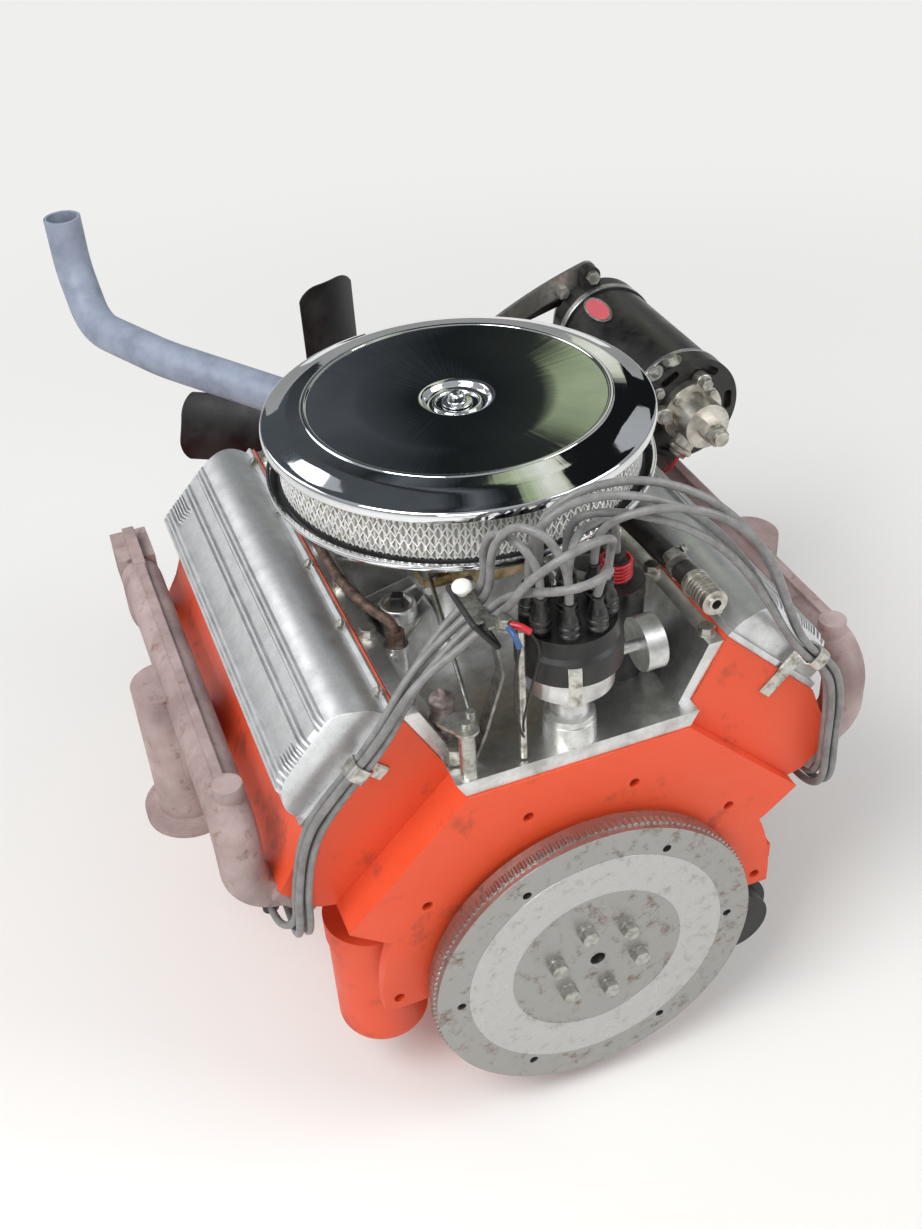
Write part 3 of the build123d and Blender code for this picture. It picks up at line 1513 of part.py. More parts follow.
# Oil filter, fuel pump and starter
filter_length = 124.0
with BuildPart() as oil_filter:
    with Locations((filter_x, filter_y, filter_seat)):
        Cylinder(filter_radius - 2, filter_length, align=(Align.CENTER, Align.CENTER, Align.MAX))
    fillet(oil_filter.edges().filter_by(GeomType.CIRCLE).group_by(Axis.Z)[0], 14)
save("oil_filter", oil_filter)

with BuildPart() as fuel_pump:
    with Locations(Location((-fuel_pump_pad, fuel_pump_y, fuel_pump_z), (0, -90, 0))):
        Box(fuel_pump_flange, 76, 8, align=standing)
        Cylinder(22, 40, align=standing)
    with Locations((-fuel_pump_pad - 58, fuel_pump_y, fuel_pump_z - 42)):
        Cylinder(38, 40, align=standing)
        Cylinder(30, 62, align=standing)
save("fuel_pump", fuel_pump)

starter_front = -250.0
with BuildPart() as starter:
    with BuildSketch(Plane.XZ.offset(-starter_front)):
        with Locations((starter_x, starter_z)):
            Circle(starter_radius)
    extrude(amount=starter_front + 60)
    with BuildSketch(Plane.XZ.offset(60)):
        with Locations((starter_x, starter_z)):
            Circle(44)
        Polygon((-172, 0), (-136, 0), (-124, -40), (-188, -40), align=None)
    extrude(amount=-44)
    with BuildSketch(Plane.XZ.offset(16)):
        with Locations((starter_x, starter_z)):
            Circle(36)
    extrude(amount=-18)
save("starter", starter)

# Flywheel on the crankshaft's rear flange
clutch_circle = 270.0
clutch_hole = 4.2
pilot_radius = 7.5
pilot_depth = 22.0
flywheel_rear = flywheel_front + flywheel_thick
with BuildPart() as flywheel:
    with BuildSketch(Plane.XZ.offset(rear_seal_depth - 2)):
        Circle(rear_seal_radius)
    extrude(amount=-(rear_seal_depth - 2 + flywheel_front))
    with BuildSketch(Plane.XZ.offset(-flywheel_front)):
        Circle(flywheel_radius)
    extrude(amount=-flywheel_thick)
    with BuildSketch(Plane.XZ.offset(-flywheel_rear)):
        with PolarLocations(clutch_circle / 2, 6):
            Circle(clutch_hole)
    extrude(amount=flywheel_thick, mode=Mode.SUBTRACT)
    with BuildSketch(Plane.XZ.offset(-flywheel_rear)):
        Circle(pilot_radius)
    extrude(amount=pilot_depth, mode=Mode.SUBTRACT)
save("flywheel", flywheel)
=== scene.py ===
import math

import bpy
import numpy as np
from mathutils import Matrix, Vector


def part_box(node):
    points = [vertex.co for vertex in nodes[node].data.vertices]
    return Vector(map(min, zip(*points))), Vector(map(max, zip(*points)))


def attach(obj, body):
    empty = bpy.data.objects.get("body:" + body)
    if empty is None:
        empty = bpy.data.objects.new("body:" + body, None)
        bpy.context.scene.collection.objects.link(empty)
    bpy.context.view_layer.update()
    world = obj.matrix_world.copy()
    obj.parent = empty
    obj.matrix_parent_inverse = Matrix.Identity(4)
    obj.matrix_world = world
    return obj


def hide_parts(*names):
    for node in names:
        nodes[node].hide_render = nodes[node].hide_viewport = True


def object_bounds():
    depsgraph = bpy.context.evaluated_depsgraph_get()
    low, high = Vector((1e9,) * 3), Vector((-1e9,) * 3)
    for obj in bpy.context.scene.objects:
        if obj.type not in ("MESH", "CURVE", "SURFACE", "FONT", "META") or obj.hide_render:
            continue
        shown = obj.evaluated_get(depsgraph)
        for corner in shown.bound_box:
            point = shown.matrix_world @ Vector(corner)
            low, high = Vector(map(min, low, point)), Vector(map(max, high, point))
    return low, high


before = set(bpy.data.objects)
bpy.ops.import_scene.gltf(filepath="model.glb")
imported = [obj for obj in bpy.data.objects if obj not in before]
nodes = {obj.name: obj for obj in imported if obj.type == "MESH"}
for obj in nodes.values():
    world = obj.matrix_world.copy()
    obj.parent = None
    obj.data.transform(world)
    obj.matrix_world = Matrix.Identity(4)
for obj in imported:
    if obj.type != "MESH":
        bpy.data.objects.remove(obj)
solids_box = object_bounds()
scene = bpy.context.scene
scene.view_settings.view_transform = "Standard"


# Camera and studio
# The camera stands behind the engine's left rear corner, as it did for the photograph, and
# looks down on it. A pale floor lies under the oil pan, with soft lamps round about.
def add_object(name, data):
    """Links a new object with this data to the scene, at the origin."""
    piece = bpy.data.objects.new(name, data)
    scene.collection.objects.link(piece)
    return piece


def point_at(thing, place, target):
    """Puts a camera or a lamp at place, with its -Z axis towards target and its Y axis up."""
    thing.location = place
    thing.rotation_mode = "QUATERNION"
    thing.rotation_quaternion = (target - Vector(place)).to_track_quat("-Z", "Y")


aim = Vector((-0.005, -0.305, 0.165))
camera_lean = math.radians(-4.0)
camera_data = bpy.data.cameras.new("camera")
camera_data.sensor_width = 36.0
camera_data.lens = 42.0
camera_data.clip_start = 0.01
camera = add_object("camera", camera_data)
point_at(camera, (0.374, 0.807, 1.064), aim)
camera.rotation_quaternion = camera.rotation_quaternion @ Matrix.Rotation(camera_lean, 3, "Z").to_quaternion()
scene.camera = camera


def linear(code):
    """Turns an sRGB hex colour such as "8d8780" into linear red, green, blue and alpha."""
    srgb = np.array([int(code[k:k + 2], 16) for k in (0, 2, 4)]) / 255
    low = srgb / 12.92
    high = ((srgb + 0.055) / 1.055) ** 2.4
    return (*np.where(srgb <= 0.04045, low, high), 1.0)


def add_node(tree, kind, settings=(), stops=(), **inputs):
    """Adds one node. settings are (attribute, value) pairs, and stops a ramp's (position, hex
    colour) pairs. inputs are values, or sockets to link: an input's name has _ for a blank, or
    is in_ and the socket's number."""
    node = tree.nodes.new(kind)
    for attribute, value in settings:
        setattr(node, attribute, value)
    for k, (position, code) in enumerate(stops):
        element = node.color_ramp.elements[k] if k < 2 else node.color_ramp.elements.new(position)
        element.position = position
        element.color = linear(code)
    for name, value in inputs.items():
        socket = node.inputs[int(name[3:]) if name.startswith("in_") else name.replace("_", " ")]
        if isinstance(value, bpy.types.NodeSocket):
            tree.links.new(value, socket)
        else:
            socket.default_value = value
    return node


def new_material(name):
    """An empty node material: itself, its tree and its output node."""
    material = bpy.data.materials.new(name)
    material.use_nodes = True
    material.node_tree.nodes.clear()
    return material, material.node_tree, material.node_tree.nodes.new("ShaderNodeOutputMaterial")


# The floor's matt paint fades into the backdrop's even white between 0.9 and 2.6 m away.
backdrop_code = "efefed"
floor_material, tree, out = new_material("pale_studio_floor")
floor_paint = add_node(tree, "ShaderNodeBsdfDiffuse", Color=linear("e4e3e0"), Roughness=0.4)
backdrop_paint = add_node(tree, "ShaderNodeEmission", Color=linear(backdrop_code), Strength=1.0)
where = add_node(tree, "ShaderNodeTexCoord").outputs["Object"]
from_origin = add_node(tree, "ShaderNodeVectorMath", [("operation", "LENGTH")], in_0=where)
far = add_node(
    tree, "ShaderNodeMapRange", [("interpolation_type", "SMOOTHSTEP")],
    Value=from_origin.outputs["Value"], From_Min=0.9, From_Max=2.6,
)
fade = add_node(
    tree, "ShaderNodeMixShader",
    in_0=far.outputs[0], in_1=floor_paint.outputs[0], in_2=backdrop_paint.outputs[0],
)
tree.links.new(fade.outputs[0], out.inputs[0])
floor_half = 9.0
floor_signs = [(-1, -1), (1, -1), (1, 1), (-1, 1)]
floor_corners = [(x * floor_half, y * floor_half, solids_box[0].z) for x, y in floor_signs]
floor_mesh = bpy.data.meshes.new("floor")
floor_mesh.from_pydata(floor_corners, [], [(0, 1, 2, 3)])
floor_mesh.materials.append(floor_material)
floor = add_object("floor", floor_mesh)

world = bpy.data.worlds.new("studio")
scene.world = world
world.use_nodes = True
tree = world.node_tree
tree.nodes.clear()
direction = add_node(tree, "ShaderNodeTexCoord").outputs["Generated"]
climb = add_node(tree, "ShaderNodeSeparateXYZ", Vector=direction).outputs["Z"]
sky = add_node(tree, "ShaderNodeValToRGB", stops=[(0.05, "b9bab8"), (0.75, "d9dde2")], in_0=climb)
fill = add_node(tree, "ShaderNodeBackground", Color=sky.outputs["Color"], Strength=0.62)
backdrop = add_node(tree, "ShaderNodeBackground", Color=linear(backdrop_code), Strength=1.0)
by_camera = add_node(tree, "ShaderNodeLightPath").outputs["Is Camera Ray"]
seen = add_node(tree, "ShaderNodeMixShader", in_0=by_camera, in_1=fill.outputs[0], in_2=backdrop.outputs[0])
add_node(tree, "ShaderNodeOutputWorld", Surface=seen.outputs[0])

for name, place, power, side in (
    ("key_lamp", (1.6, 0.6, 2.3), 62, 1.5),
    ("rear_lamp", (-1.9, 1.0, 1.8), 36, 1.6),
    ("low_lamp", (0.9, 2.2, 1.1), 11, 1.2),
    ("front_lamp", (1.5, -2.3, 2.1), 21, 1.8),
):
    lamp_data = bpy.data.lights.new(name, "AREA")
    lamp_data.energy = power
    lamp_data.size = side
    point_at(add_object(name, lamp_data), place, aim)

# A card over the front of the engine gives the chrome something to mirror: dark, with a
# pale green-grey glow at one side. It is seen by reflections alone.
card_material, tree, out = new_material("dark_card")
where = add_node(tree, "ShaderNodeTexCoord").outputs["Object"]
across = add_node(tree, "ShaderNodeSeparateXYZ", Vector=where)
smear = add_node(tree, "ShaderNodeTexNoise", Vector=where, Scale=2.4, Detail=4.0)
swayed = add_node(
    tree, "ShaderNodeMath", [("operation", "MULTIPLY_ADD")],
    in_0=smear.outputs["Fac"], in_1=0.26, in_2=across.outputs["X"],
)
band = add_node(tree, "ShaderNodeMapRange", Value=swayed.outputs[0], From_Min=-1.7, From_Max=0.25)
glow = add_node(tree, "ShaderNodeValToRGB", in_0=band.outputs[0], stops=[
    (0.36, "17191b"), (0.39, "dfe4d0"), (0.47, "f4f6ec"), (0.57, "c0cca9"), (0.62, "98a684"),
    (0.64, "2c302e"), (0.70, "1d2022"), (0.84, "62676d"), (0.91, "26292c"), (1.0, "50555a"),
])
card_paint = add_node(tree, "ShaderNodeEmission", Color=glow.outputs["Color"], Strength=0.9)
tree.links.new(card_paint.outputs[0], out.inputs[0])
card_mesh = bpy.data.meshes.new("reflected_card")
card_mesh.from_pydata(
    [(-2.0, -1.5, 0.75), (0.75, -1.5, 0.75), (0.75, -1.9, 2.3), (-2.0, -1.9, 2.3), (0.8, 0.0, 2.5),
     (-2.0, 0.0, 2.5)], [], [(0, 1, 2, 3), (3, 2, 4, 5)],
)
card_mesh.materials.append(card_material)
card = add_object("reflected_card", card_mesh)
card.visible_camera = False
card.visible_diffuse = False
card.visible_shadow = False


def finish(name, colour, rough, patch=None, reliefs=(), edge=0.0, tint=None, slot=None, **inputs):
    """One material on Object coordinates. A pattern is a noise of (lump size in mm, detail,
    roughness), or a function that adds nodes and gives their value. patch drives colour's
    stops, and rough's two ends where the pattern runs from 0.3 to 0.7, as noise mostly does.
    reliefs are (pattern, depth in mm), one over the other, on edges rounded by edge mm. tint
    changes the colour, slot is not used, and inputs go to the shader as they are."""
    material, tree, out = new_material(name)
    where = add_node(tree, "ShaderNodeTexCoord").outputs["Object"] if patch or reliefs else None

    def pattern(source):
        """A pattern's value. Lumps of size mm need a Scale of 1000 / size on metres."""
        if callable(source):
            return source(tree, where)
        size, detail, roughness = source
        lumps = add_node(
            tree, "ShaderNodeTexNoise", Vector=where, Scale=1000 / size, Detail=detail, Roughness=roughness
        )
        return lumps.outputs["Fac"]

    value = pattern(patch) if patch else None
    if isinstance(colour, str):
        colour = linear(colour)
    else:
        colour = add_node(tree, "ShaderNodeValToRGB", stops=colour, in_0=value).outputs["Color"]
    if tint:
        colour = tint(tree, where, colour)
    if isinstance(rough, tuple):
        low, high = rough
        spread = add_node(
            tree, "ShaderNodeMapRange", Value=value, From_Min=0.3, From_Max=0.7, To_Min=low, To_Max=high
        )
        rough = spread.outputs[0]
    if edge:
        inputs["Normal"] = add_node(tree, "ShaderNodeBevel", [("samples", 4)], Radius=edge / 1000).outputs[0]
    for source, depth in reliefs:
        skin = add_node(
            tree, "ShaderNodeBump", Height=pattern(source), Distance=depth / 1000, Strength=1.0,
            Normal=inputs["Normal"],
        )
        inputs["Normal"] = skin.outputs["Normal"]
    shader = add_node(tree, "ShaderNodeBsdfPrincipled", Base_Color=colour, Roughness=rough, **inputs)
    tree.links.new(shader.outputs[0], out.inputs[0])
    return material


def dress(material, *names):
    """Gives these nodes of the frame one material."""
    for name in names:
        mesh = nodes[name].data
        mesh.materials.clear()
        mesh.materials.append(material)


def enamelled_iron(name, light, dark, grain_mm, grain_depth, gloss):
    """Engine enamel, a hard plastic film (IOR 1.5): oil darkens it in patches of 60 mm, and
    the casting's grain shows through."""
    return finish(
        name, [(0.28, dark), (0.42, light), (0.78, light)], (gloss + 0.22, gloss), (60, 6.0, 0.62),
        [((grain_mm, 3.0, 0.55), grain_depth)], edge=1.2, IOR=1.5,
    )


# Grain of 1.5 mm is the mould's sand; on pressed steel the paint's own skin has waves of 4 mm.
cast_enamel = enamelled_iron("orange_enamel_on_cast_iron", "e0502c", "8f3f28", 1.5, 0.35, 0.42)
pressed_enamel = enamelled_iron("orange_enamel_on_pressed_steel", "dd4d29", "93412a", 4.0, 0.08, 0.34)
dress(cast_enamel, "cylinder_block", "head_left", "head_right", "water_pump")
dress(pressed_enamel, "oil_pan", "timing_cover", "oil_filter")


def lofted(name, grids, material, body="engine", along=False, smooth=30):
    """Mesh of one or several grids of points (copies, rows, columns, 3), joined into quads.

    The columns close round. The rows close too where along is set, and otherwise a flat cap
    closes each end. An edge sharper than smooth, in degrees, stays sharp."""
    grids = np.asarray(grids, float)
    grids = grids.reshape(-1, *grids.shape[-3:])
    copies, rows, columns, _ = grids.shape
    index = np.arange(copies * rows * columns).reshape(copies, rows, columns)
    here = index if along else index[:, :-1]
    above = np.roll(index, -1, axis=1)[:, :here.shape[1]]
    quads = np.stack([here, np.roll(here, -1, axis=2), np.roll(above, -1, axis=2), above], axis=-1)
    caps = index[0, :0] if along else np.concatenate([index[:, 0, ::-1], index[:, -1]])
    corners = np.concatenate([quads.reshape(-1), caps.reshape(-1)])
    face_sizes = np.repeat([4, columns], [quads.size // 4, len(caps)])
    mesh = bpy.data.meshes.new(name)
    mesh.vertices.add(index.size)
    mesh.vertices.foreach_set("co", grids.reshape(-1))
    mesh.loops.add(corners.size)
    mesh.loops.foreach_set("vertex_index", corners)
    mesh.polygons.add(face_sizes.size)
    mesh.polygons.foreach_set("loop_start", np.cumsum(face_sizes) - face_sizes)
    mesh.update(calc_edges=True)
    mesh.validate()
    mesh.materials.append(material)
    mesh.shade_smooth()
    mesh.set_sharp_from_angle(angle=math.radians(smooth))
    piece = add_object(name, mesh)
    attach(piece, body)
    return piece


def plated_steel(name, light, dark, gloss):
    """Zinc-plated steel, a dull metal that greys and spots in stains of 8 mm."""
    return finish(
        name, [(0.36, dark), (0.56, light)], (gloss + 0.2, gloss), (8, 5.0, 0.6), edge=0.4, Metallic=1.0
    )


# Zinc is a bluish grey metal, rougher where it has gone white.
zinc_steel = plated_steel("dull_zinc_plated_steel", "bdbdb7", "98958b", 0.32)


def hexagon_heads(name, places, out_ways, across, tall, washer, material=None, body="engine"):
    """Bolt heads in one mesh, zinc-plated unless a material is given. Sizes are in mm: across
    the flats, the height, and the washer's radius.

    Each is a pile of rings, a point of which is place + h n + r (cos t e1 + sin t e2), with n
    outwards. r is constant on the washer, and across / (2 cos(t mod 60 deg - 30 deg)) on the
    hexagon, held to 0.54 across where its top is turned down."""
    places = np.asarray(places, float)
    n = np.asarray(out_ways, float) * np.ones_like(places)
    n /= np.linalg.norm(n, axis=1, keepdims=True)
    other = np.where(np.abs(n[:, 2:3]) > 0.8, [[1.0, 0, 0]], [[0, 0, 1.0]])
    e1 = np.cross(n, other)
    e1 /= np.linalg.norm(e1, axis=1, keepdims=True)
    e2 = np.cross(n, e1)
    t = np.radians(np.arange(0, 360, 10))
    flat = across / 2 / np.cos((t % np.radians(60)) - np.radians(30))
    disc = np.ones_like(t)
    thick = 1.6
    turned_down = np.minimum(flat, across * 0.54)
    radii = [washer * disc, washer * disc, flat, flat, turned_down, across * 0.42 * disc, 0.01 * disc]
    radii = np.array(radii)[..., None] / 1000
    heights = np.array([0, thick, thick, tall - 0.8, tall - 0.2, tall, tall]) / 1000
    ring = np.cos(t)[:, None] * e1[:, None, None] + np.sin(t)[:, None] * e2[:, None, None]
    grid = places[:, None, None] + heights[:, None, None] * n[:, None, None] + radii * ring
    return lofted(name, grid, material or zinc_steel, body)


def round_places(centre, degrees, radius, tall=None):
    """Places on a circle about an axis along Y, or on an oval: centre + (r cos a, 0, tall sin a)."""
    a = np.radians(degrees)
    return np.asarray(centre) + np.stack([radius * np.cos(a), 0 * a, (tall or radius) * np.sin(a)], axis=-1)


# Eight bolts a side hold the sump's rail, and seven the front cover's rim.
sump_low, sump_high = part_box("oil_pan")
rail_x = sump_high.x - 0.008
rail_y = np.linspace(sump_low.y + 0.020, sump_high.y - 0.020, 8)
rail_places = [(side * rail_x, y, -0.006) for side in (-1, 1) for y in rail_y]
hexagon_heads("sump_bolts", rail_places, (0, 0, -1), across=11, tall=7, washer=6.8)
cover_middle = (0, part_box("timing_cover")[1].y - 0.021, 0.012)
rim_places = round_places(cover_middle, [8, 32, 58, 90, 122, 148, 172], 0.084, 0.088)
hexagon_heads("front_cover_bolts", rim_places, (0, -1, 0), across=9.5, tall=6, washer=6)


# Flywheel and crankshaft pulley
# Turned steel disc with a shrunk-on ring gear, bolted to the crankshaft's rear flange. The
# pulley at the front is pressed steel in black enamel.
def lathe_rings(tree, where):
    """sin(2 pi r / pitch) of the distance r from the crankshaft's axis, pitch being 0.9 mm."""
    pitch = 0.0009
    flat = add_node(tree, "ShaderNodeVectorMath", [("operation", "MULTIPLY")], in_0=where, in_1=(1, 0, 1))
    middle = add_node(tree, "ShaderNodeVectorMath", [("operation", "LENGTH")], in_0=flat.outputs[0])
    r = middle.outputs["Value"]
    turns = add_node(tree, "ShaderNodeMath", [("operation", "MULTIPLY")], in_0=r, in_1=2 * math.pi / pitch)
    return add_node(tree, "ShaderNodeMath", [("operation", "SINE")], in_0=turns.outputs[0]).outputs[0]


def turned_steel(name, light, dark, gloss, slot=None):
    """Bare steel off the lathe: fine rings about the crankshaft's axis, and a bloom of rust."""
    return finish(
        name, [(0.32, dark), (0.46, light)], (gloss + 0.22, gloss), (14, 7.0, 0.7), [(lathe_rings, 0.012)],
        edge=0.8, slot=slot, Metallic=1.0,
    )


def axes_along(way, start=(1, 0, 0)):
    """Right-handed unit axes as rows: start made square to way, the third one, and way."""
    way = np.asarray(way, float) / np.linalg.norm(way)
    side = start - way * np.dot(start, way)
    side /= np.linalg.norm(side)
    return np.array([side, np.cross(way, side), way])


def turned(profile, centre, way=(0, 0, 1), steps=180, start=(1, 0, 0)):
    """Turns a profile of (radius, height) about an axis through centre along way, from start.

    point = centre + h way + r (cos t e1 + sin t e2). An outer wall climbs along way."""
    e1, e2, up = axes_along(way, start)
    t = np.linspace(0, 2 * np.pi, steps, endpoint=False)[:, None]
    r, h = np.asarray(profile, float).T[:, :, None, None]
    return np.asarray(centre) + h * up + r * (np.cos(t) * e1 + np.sin(t) * e2)


flywheel_steel = turned_steel("turned_flywheel_steel", "a9a8a5", "85786c", 0.30)
dress(flywheel_steel, "flywheel")
disc_radius, disc_rear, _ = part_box("flywheel")[1]
tooth_count = 153
tooth_tall = 0.0022
tooth_turn = np.linspace(0, 2 * np.pi, tooth_count * 4, endpoint=False)
tooth_top = disc_radius + np.tile([0.0, tooth_tall, tooth_tall, 0.0], tooth_count)
tooth_foot = np.full_like(tooth_top, disc_radius - 0.001)
ring_ahead = np.array([[0.0055], [0.0060], [0.0150], [0.0155]])
gear_radius = np.stack([tooth_foot, tooth_top, tooth_top, tooth_foot])
gear_y = disc_rear - ring_ahead + 0 * gear_radius
gear_grid = np.stack([gear_radius * np.cos(tooth_turn), gear_y, gear_radius * np.sin(tooth_turn)], axis=-1)
lofted("ring_gear", gear_grid, flywheel_steel, "crank", along=True, smooth=10)

# A ground ring on the rear face stands 0.2 mm proud of the disc. Six bolts hold the flange.
friction_steel = turned_steel("ground_friction_face", "c4c4c2", "aba9a4", 0.22, "flywheel_steel")
friction_edges = [(0.1275, -0.0001), (0.1275, 0.0002), (0.0850, 0.0002), (0.0850, -0.0001)]
friction_grid = turned(friction_edges, (0, disc_rear, 0), (0, 1, 0), 160)
lofted("friction_face", friction_grid, friction_steel, "crank", along=True)
flange_bolts = round_places((0, disc_rear, 0), 15 + 60 * np.arange(6), 0.0430)
hexagon_heads("flywheel_bolts", flange_bolts, (0, 1, 0), across=15, tall=9.8, washer=8.5, body="crank")


def black_enamel(name, light, dark, gloss, slot=None):
    """Black enamel on steel: a smooth film (IOR 1.5) that dust turns grey in patches of 35 mm,
    with specks of 2.2 mm in it."""
    return finish(
        name, [(0.40, dark), (0.66, light)], (gloss, gloss + 0.25), (35, 6.0, 0.65),
        [((2.2, 2.0, 0.55), 0.05)], edge=0.8, slot=slot, IOR=1.5,
    )


pulley_enamel = black_enamel("black_enamel_on_pulleys", "2c2c2b", "121213", 0.32)
dress(pulley_enamel, "crank_pulley", "pump_pulley")
nose = (0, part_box("crank_pulley")[0].y + 0.002, 0)
hexagon_heads("crank_bolt", [nose], (0, -1, 0), across=22, tall=11, washer=18, body="crank")


# Cylinder heads' small parts
# Plated bolts run along the foot of each head, and the spark plugs have steel shells.
# Both banks stand at 45 degrees, the right one moved rearwards by the crankpins' width.
slope = math.sqrt(0.5)
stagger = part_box("head_right")[1].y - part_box("head_left")[1].y


def bank_point(across, up, back):
    """Points of the left bank in metres: across the deck, up its bores and back along Y, which
    gives (slope (up + across), back, slope (up - across))."""
    across, up, back = np.broadcast_arrays(across, up, back)
    return np.stack([slope * (up + across), back, slope * (up - across)], axis=-1)


def on_right(points):
    """The right bank's copies: X changes its sign, and Y moves back by the banks' stagger."""
    return points * [-1, 1, 1] + [0, stagger, 0]


def both_banks(places, way):
    """Places of the left bank and then their right copies, with the outward way of each."""
    ways = np.tile(way, (len(places), 1))
    return np.concatenate([places, on_right(places)]), np.concatenate([ways, ways * [-1, 1, 1]])


pitches_in_head = 4.177
head_low, head_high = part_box("head_left")
head_middle = (head_high.y + head_low.y) / 2
bore_pitch = (head_high.y - head_low.y) / pitches_in_head
foot_across = 0.0885
foot_up = 0.2475
foot_y = head_middle + (np.arange(5) - 2) * bore_pitch * 0.98
foot_places = bank_point(foot_across, foot_up, foot_y)
foot_way = (slope, 0, -slope)
hexagon_heads("head_bolts", *both_banks(foot_places, foot_way), across=14, tall=8, washer=9)
dress(plated_steel("plated_plug_shells", "c6c4bb", "8d887c", 0.28), "spark_plugs_left", "spark_plugs_right")


# Finned rocker covers
# Sand-cast aluminium, fettled and brushed along its length.
# Dust and old oil stay between the fins. Five screws hold each long edge.
def grime_in_pits(tree, where, colour):
    """A quarter of the way from the colour to its product with the brown of the grain's pits."""
    grain = add_node(tree, "ShaderNodeTexNoise", Vector=where, Scale=1000 / 1.6, Detail=3.0, Roughness=0.55)
    pits = add_node(
        tree, "ShaderNodeValToRGB", stops=[(0.30, "4b463d"), (0.40, "ffffff")], in_0=grain.outputs["Fac"]
    )
    dirty = add_node(
        tree, "ShaderNodeMix", [("data_type", "RGBA"), ("blend_type", "MULTIPLY")],
        in_0=0.25, in_6=colour, in_7=pits.outputs["Color"],
    )
    return dirty.outputs[2]


def brush_lines(tree, where):
    """Noise of 0.8 mm that is drawn out fifty times along Y."""
    lines = add_node(tree, "ShaderNodeVectorMath", [("operation", "MULTIPLY")], in_0=where, in_1=(1, 0.02, 1))
    strokes = add_node(
        tree, "ShaderNodeTexNoise", Vector=lines.outputs[0], Scale=1000 / 0.8, Detail=2.0, Roughness=0.55
    )
    return strokes.outputs["Fac"]


def cast_aluminium(name, light, dark, gloss, grain_depth, brushed=0.0, slot=None):
    """Cast aluminium: a pale metal with grey blotches of 25 mm over sand grain of 1.6 mm."""
    reliefs = [((1.6, 3.0, 0.55), grain_depth)]
    if brushed:
        reliefs.append((brush_lines, brushed))
    return finish(
        name, [(0.34, dark), (0.60, light)], (gloss + 0.14, gloss), (25, 6.0, 0.6), reliefs, edge=0.7,
        tint=grime_in_pits, slot=slot, Metallic=1.0,
    )


cover_aluminium = cast_aluminium("brushed_cast_aluminium_covers", "e6e7e8", "cfd0d0", 0.42, 0.04, 0.02)
dress(cover_aluminium, "rocker_cover_left", "rocker_cover_right")
cover_low, cover_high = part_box("rocker_cover_left")
cover_seat = 0.3172
outer_edge = 0.0195
inner_edge = -0.1040
screw_y = np.linspace(cover_high.y - 0.030, cover_low.y + 0.030, 5)
screw_places = np.concatenate([bank_point(edge, cover_seat, screw_y) for edge in (outer_edge, inner_edge)])
hexagon_heads("cover_screws", *both_banks(screw_places, (slope, 0, slope)), across=7.8, tall=5.5, washer=5.2)


# Exhaust manifolds
# Grey iron, burnt bare by heat: a chalky pinkish brown skin with rust blooms and dust. Dark
# bolts with thick washers hold each port flange.
def rust_blooms(tree, where, colour):
    """Rust brown over the colour, where a noise with lumps of 18 mm lies above 0.57."""
    lumps = add_node(tree, "ShaderNodeTexNoise", Vector=where, Scale=1000 / 18, Detail=6.0, Roughness=0.7)
    bloom = add_node(
        tree, "ShaderNodeValToRGB", stops=[(0.57, "000000"), (0.76, "ffffff")], in_0=lumps.outputs["Fac"]
    )
    rusted = add_node(
        tree, "ShaderNodeMix", [("data_type", "RGBA")],
        in_0=bloom.outputs["Color"], in_6=colour, in_7=linear("6e4a3c"),
    )
    return rusted.outputs[2]


iron_skin = finish(
    "heat_faded_cast_iron", [(0.36, "8b7876"), (0.50, "a08d8a"), (0.66, "b3a19e")], 0.86, (70, 7.0, 0.62),
    [((1.8, 4.0, 0.6), 0.45)], edge=2.2, tint=rust_blooms, Specular_IOR_Level=0.28,
)
dress(iron_skin, "exhaust_manifold_left", "exhaust_manifold_right")
burnt_steel = plated_steel("burnt_dark_steel", "6b5e55", "40352e", 0.5)
# Bolts stand by threes about the head's middle: one beside the centre ports, and two on the
# end port's flange, set aslant.
port_height = 0.265
flange_face = 0.101
end_port = 1.5 * bore_pitch + 0.0383
rear_y = np.array([0.031, end_port - 0.019, end_port + 0.019])
port_y = head_middle + np.concatenate([-rear_y[::-1], rear_y])
port_up = port_height + np.array([-0.013, 0.013, -0.015, -0.015, 0.013, -0.013])
flange_places = bank_point(flange_face, port_up, port_y)
both_flanges = both_banks(flange_places, foot_way)
hexagon_heads("manifold_bolts", *both_flanges, across=12.7, tall=9, washer=9, material=burnt_steel)


# Intake manifold and thermostat housing
# Aluminium casting, cleaner and brighter than the covers where spilt fuel has washed it.
# Hexagon bolts with washers hold its flanges down, and two more the water outlet.
intake_aluminium = cast_aluminium("washed_cast_aluminium_intake", "e4e5e4", "b9b8b4", 0.29, 0.16)
dress(intake_aluminium, "intake_manifold", "thermostat_housing")
intake_low, intake_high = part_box("intake_manifold")
carb_pad = intake_high.z
edge_pitches = np.array([-1.93, -1.03, -0.33, 0.33, 1.03, 1.93])
edge_x = intake_high.x - 0.0092
edge_z = carb_pad - 0.008
edge_places = np.array([(edge_x, y, edge_z) for y in head_middle + edge_pitches * bore_pitch])
hexagon_heads("intake_bolts", *both_banks(edge_places, (0, 0, 1)), across=13, tall=8, washer=8.5)
outlet_low, outlet_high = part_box("thermostat_housing")
outlet_y = intake_low.y + 0.033
outlet_places = [(0, outlet_y + side * 0.027, outlet_low.z + 0.007) for side in (1, -1)]
hexagon_heads("water_outlet_bolts", outlet_places, (0, 0, 1), across=12, tall=8, washer=8.5)


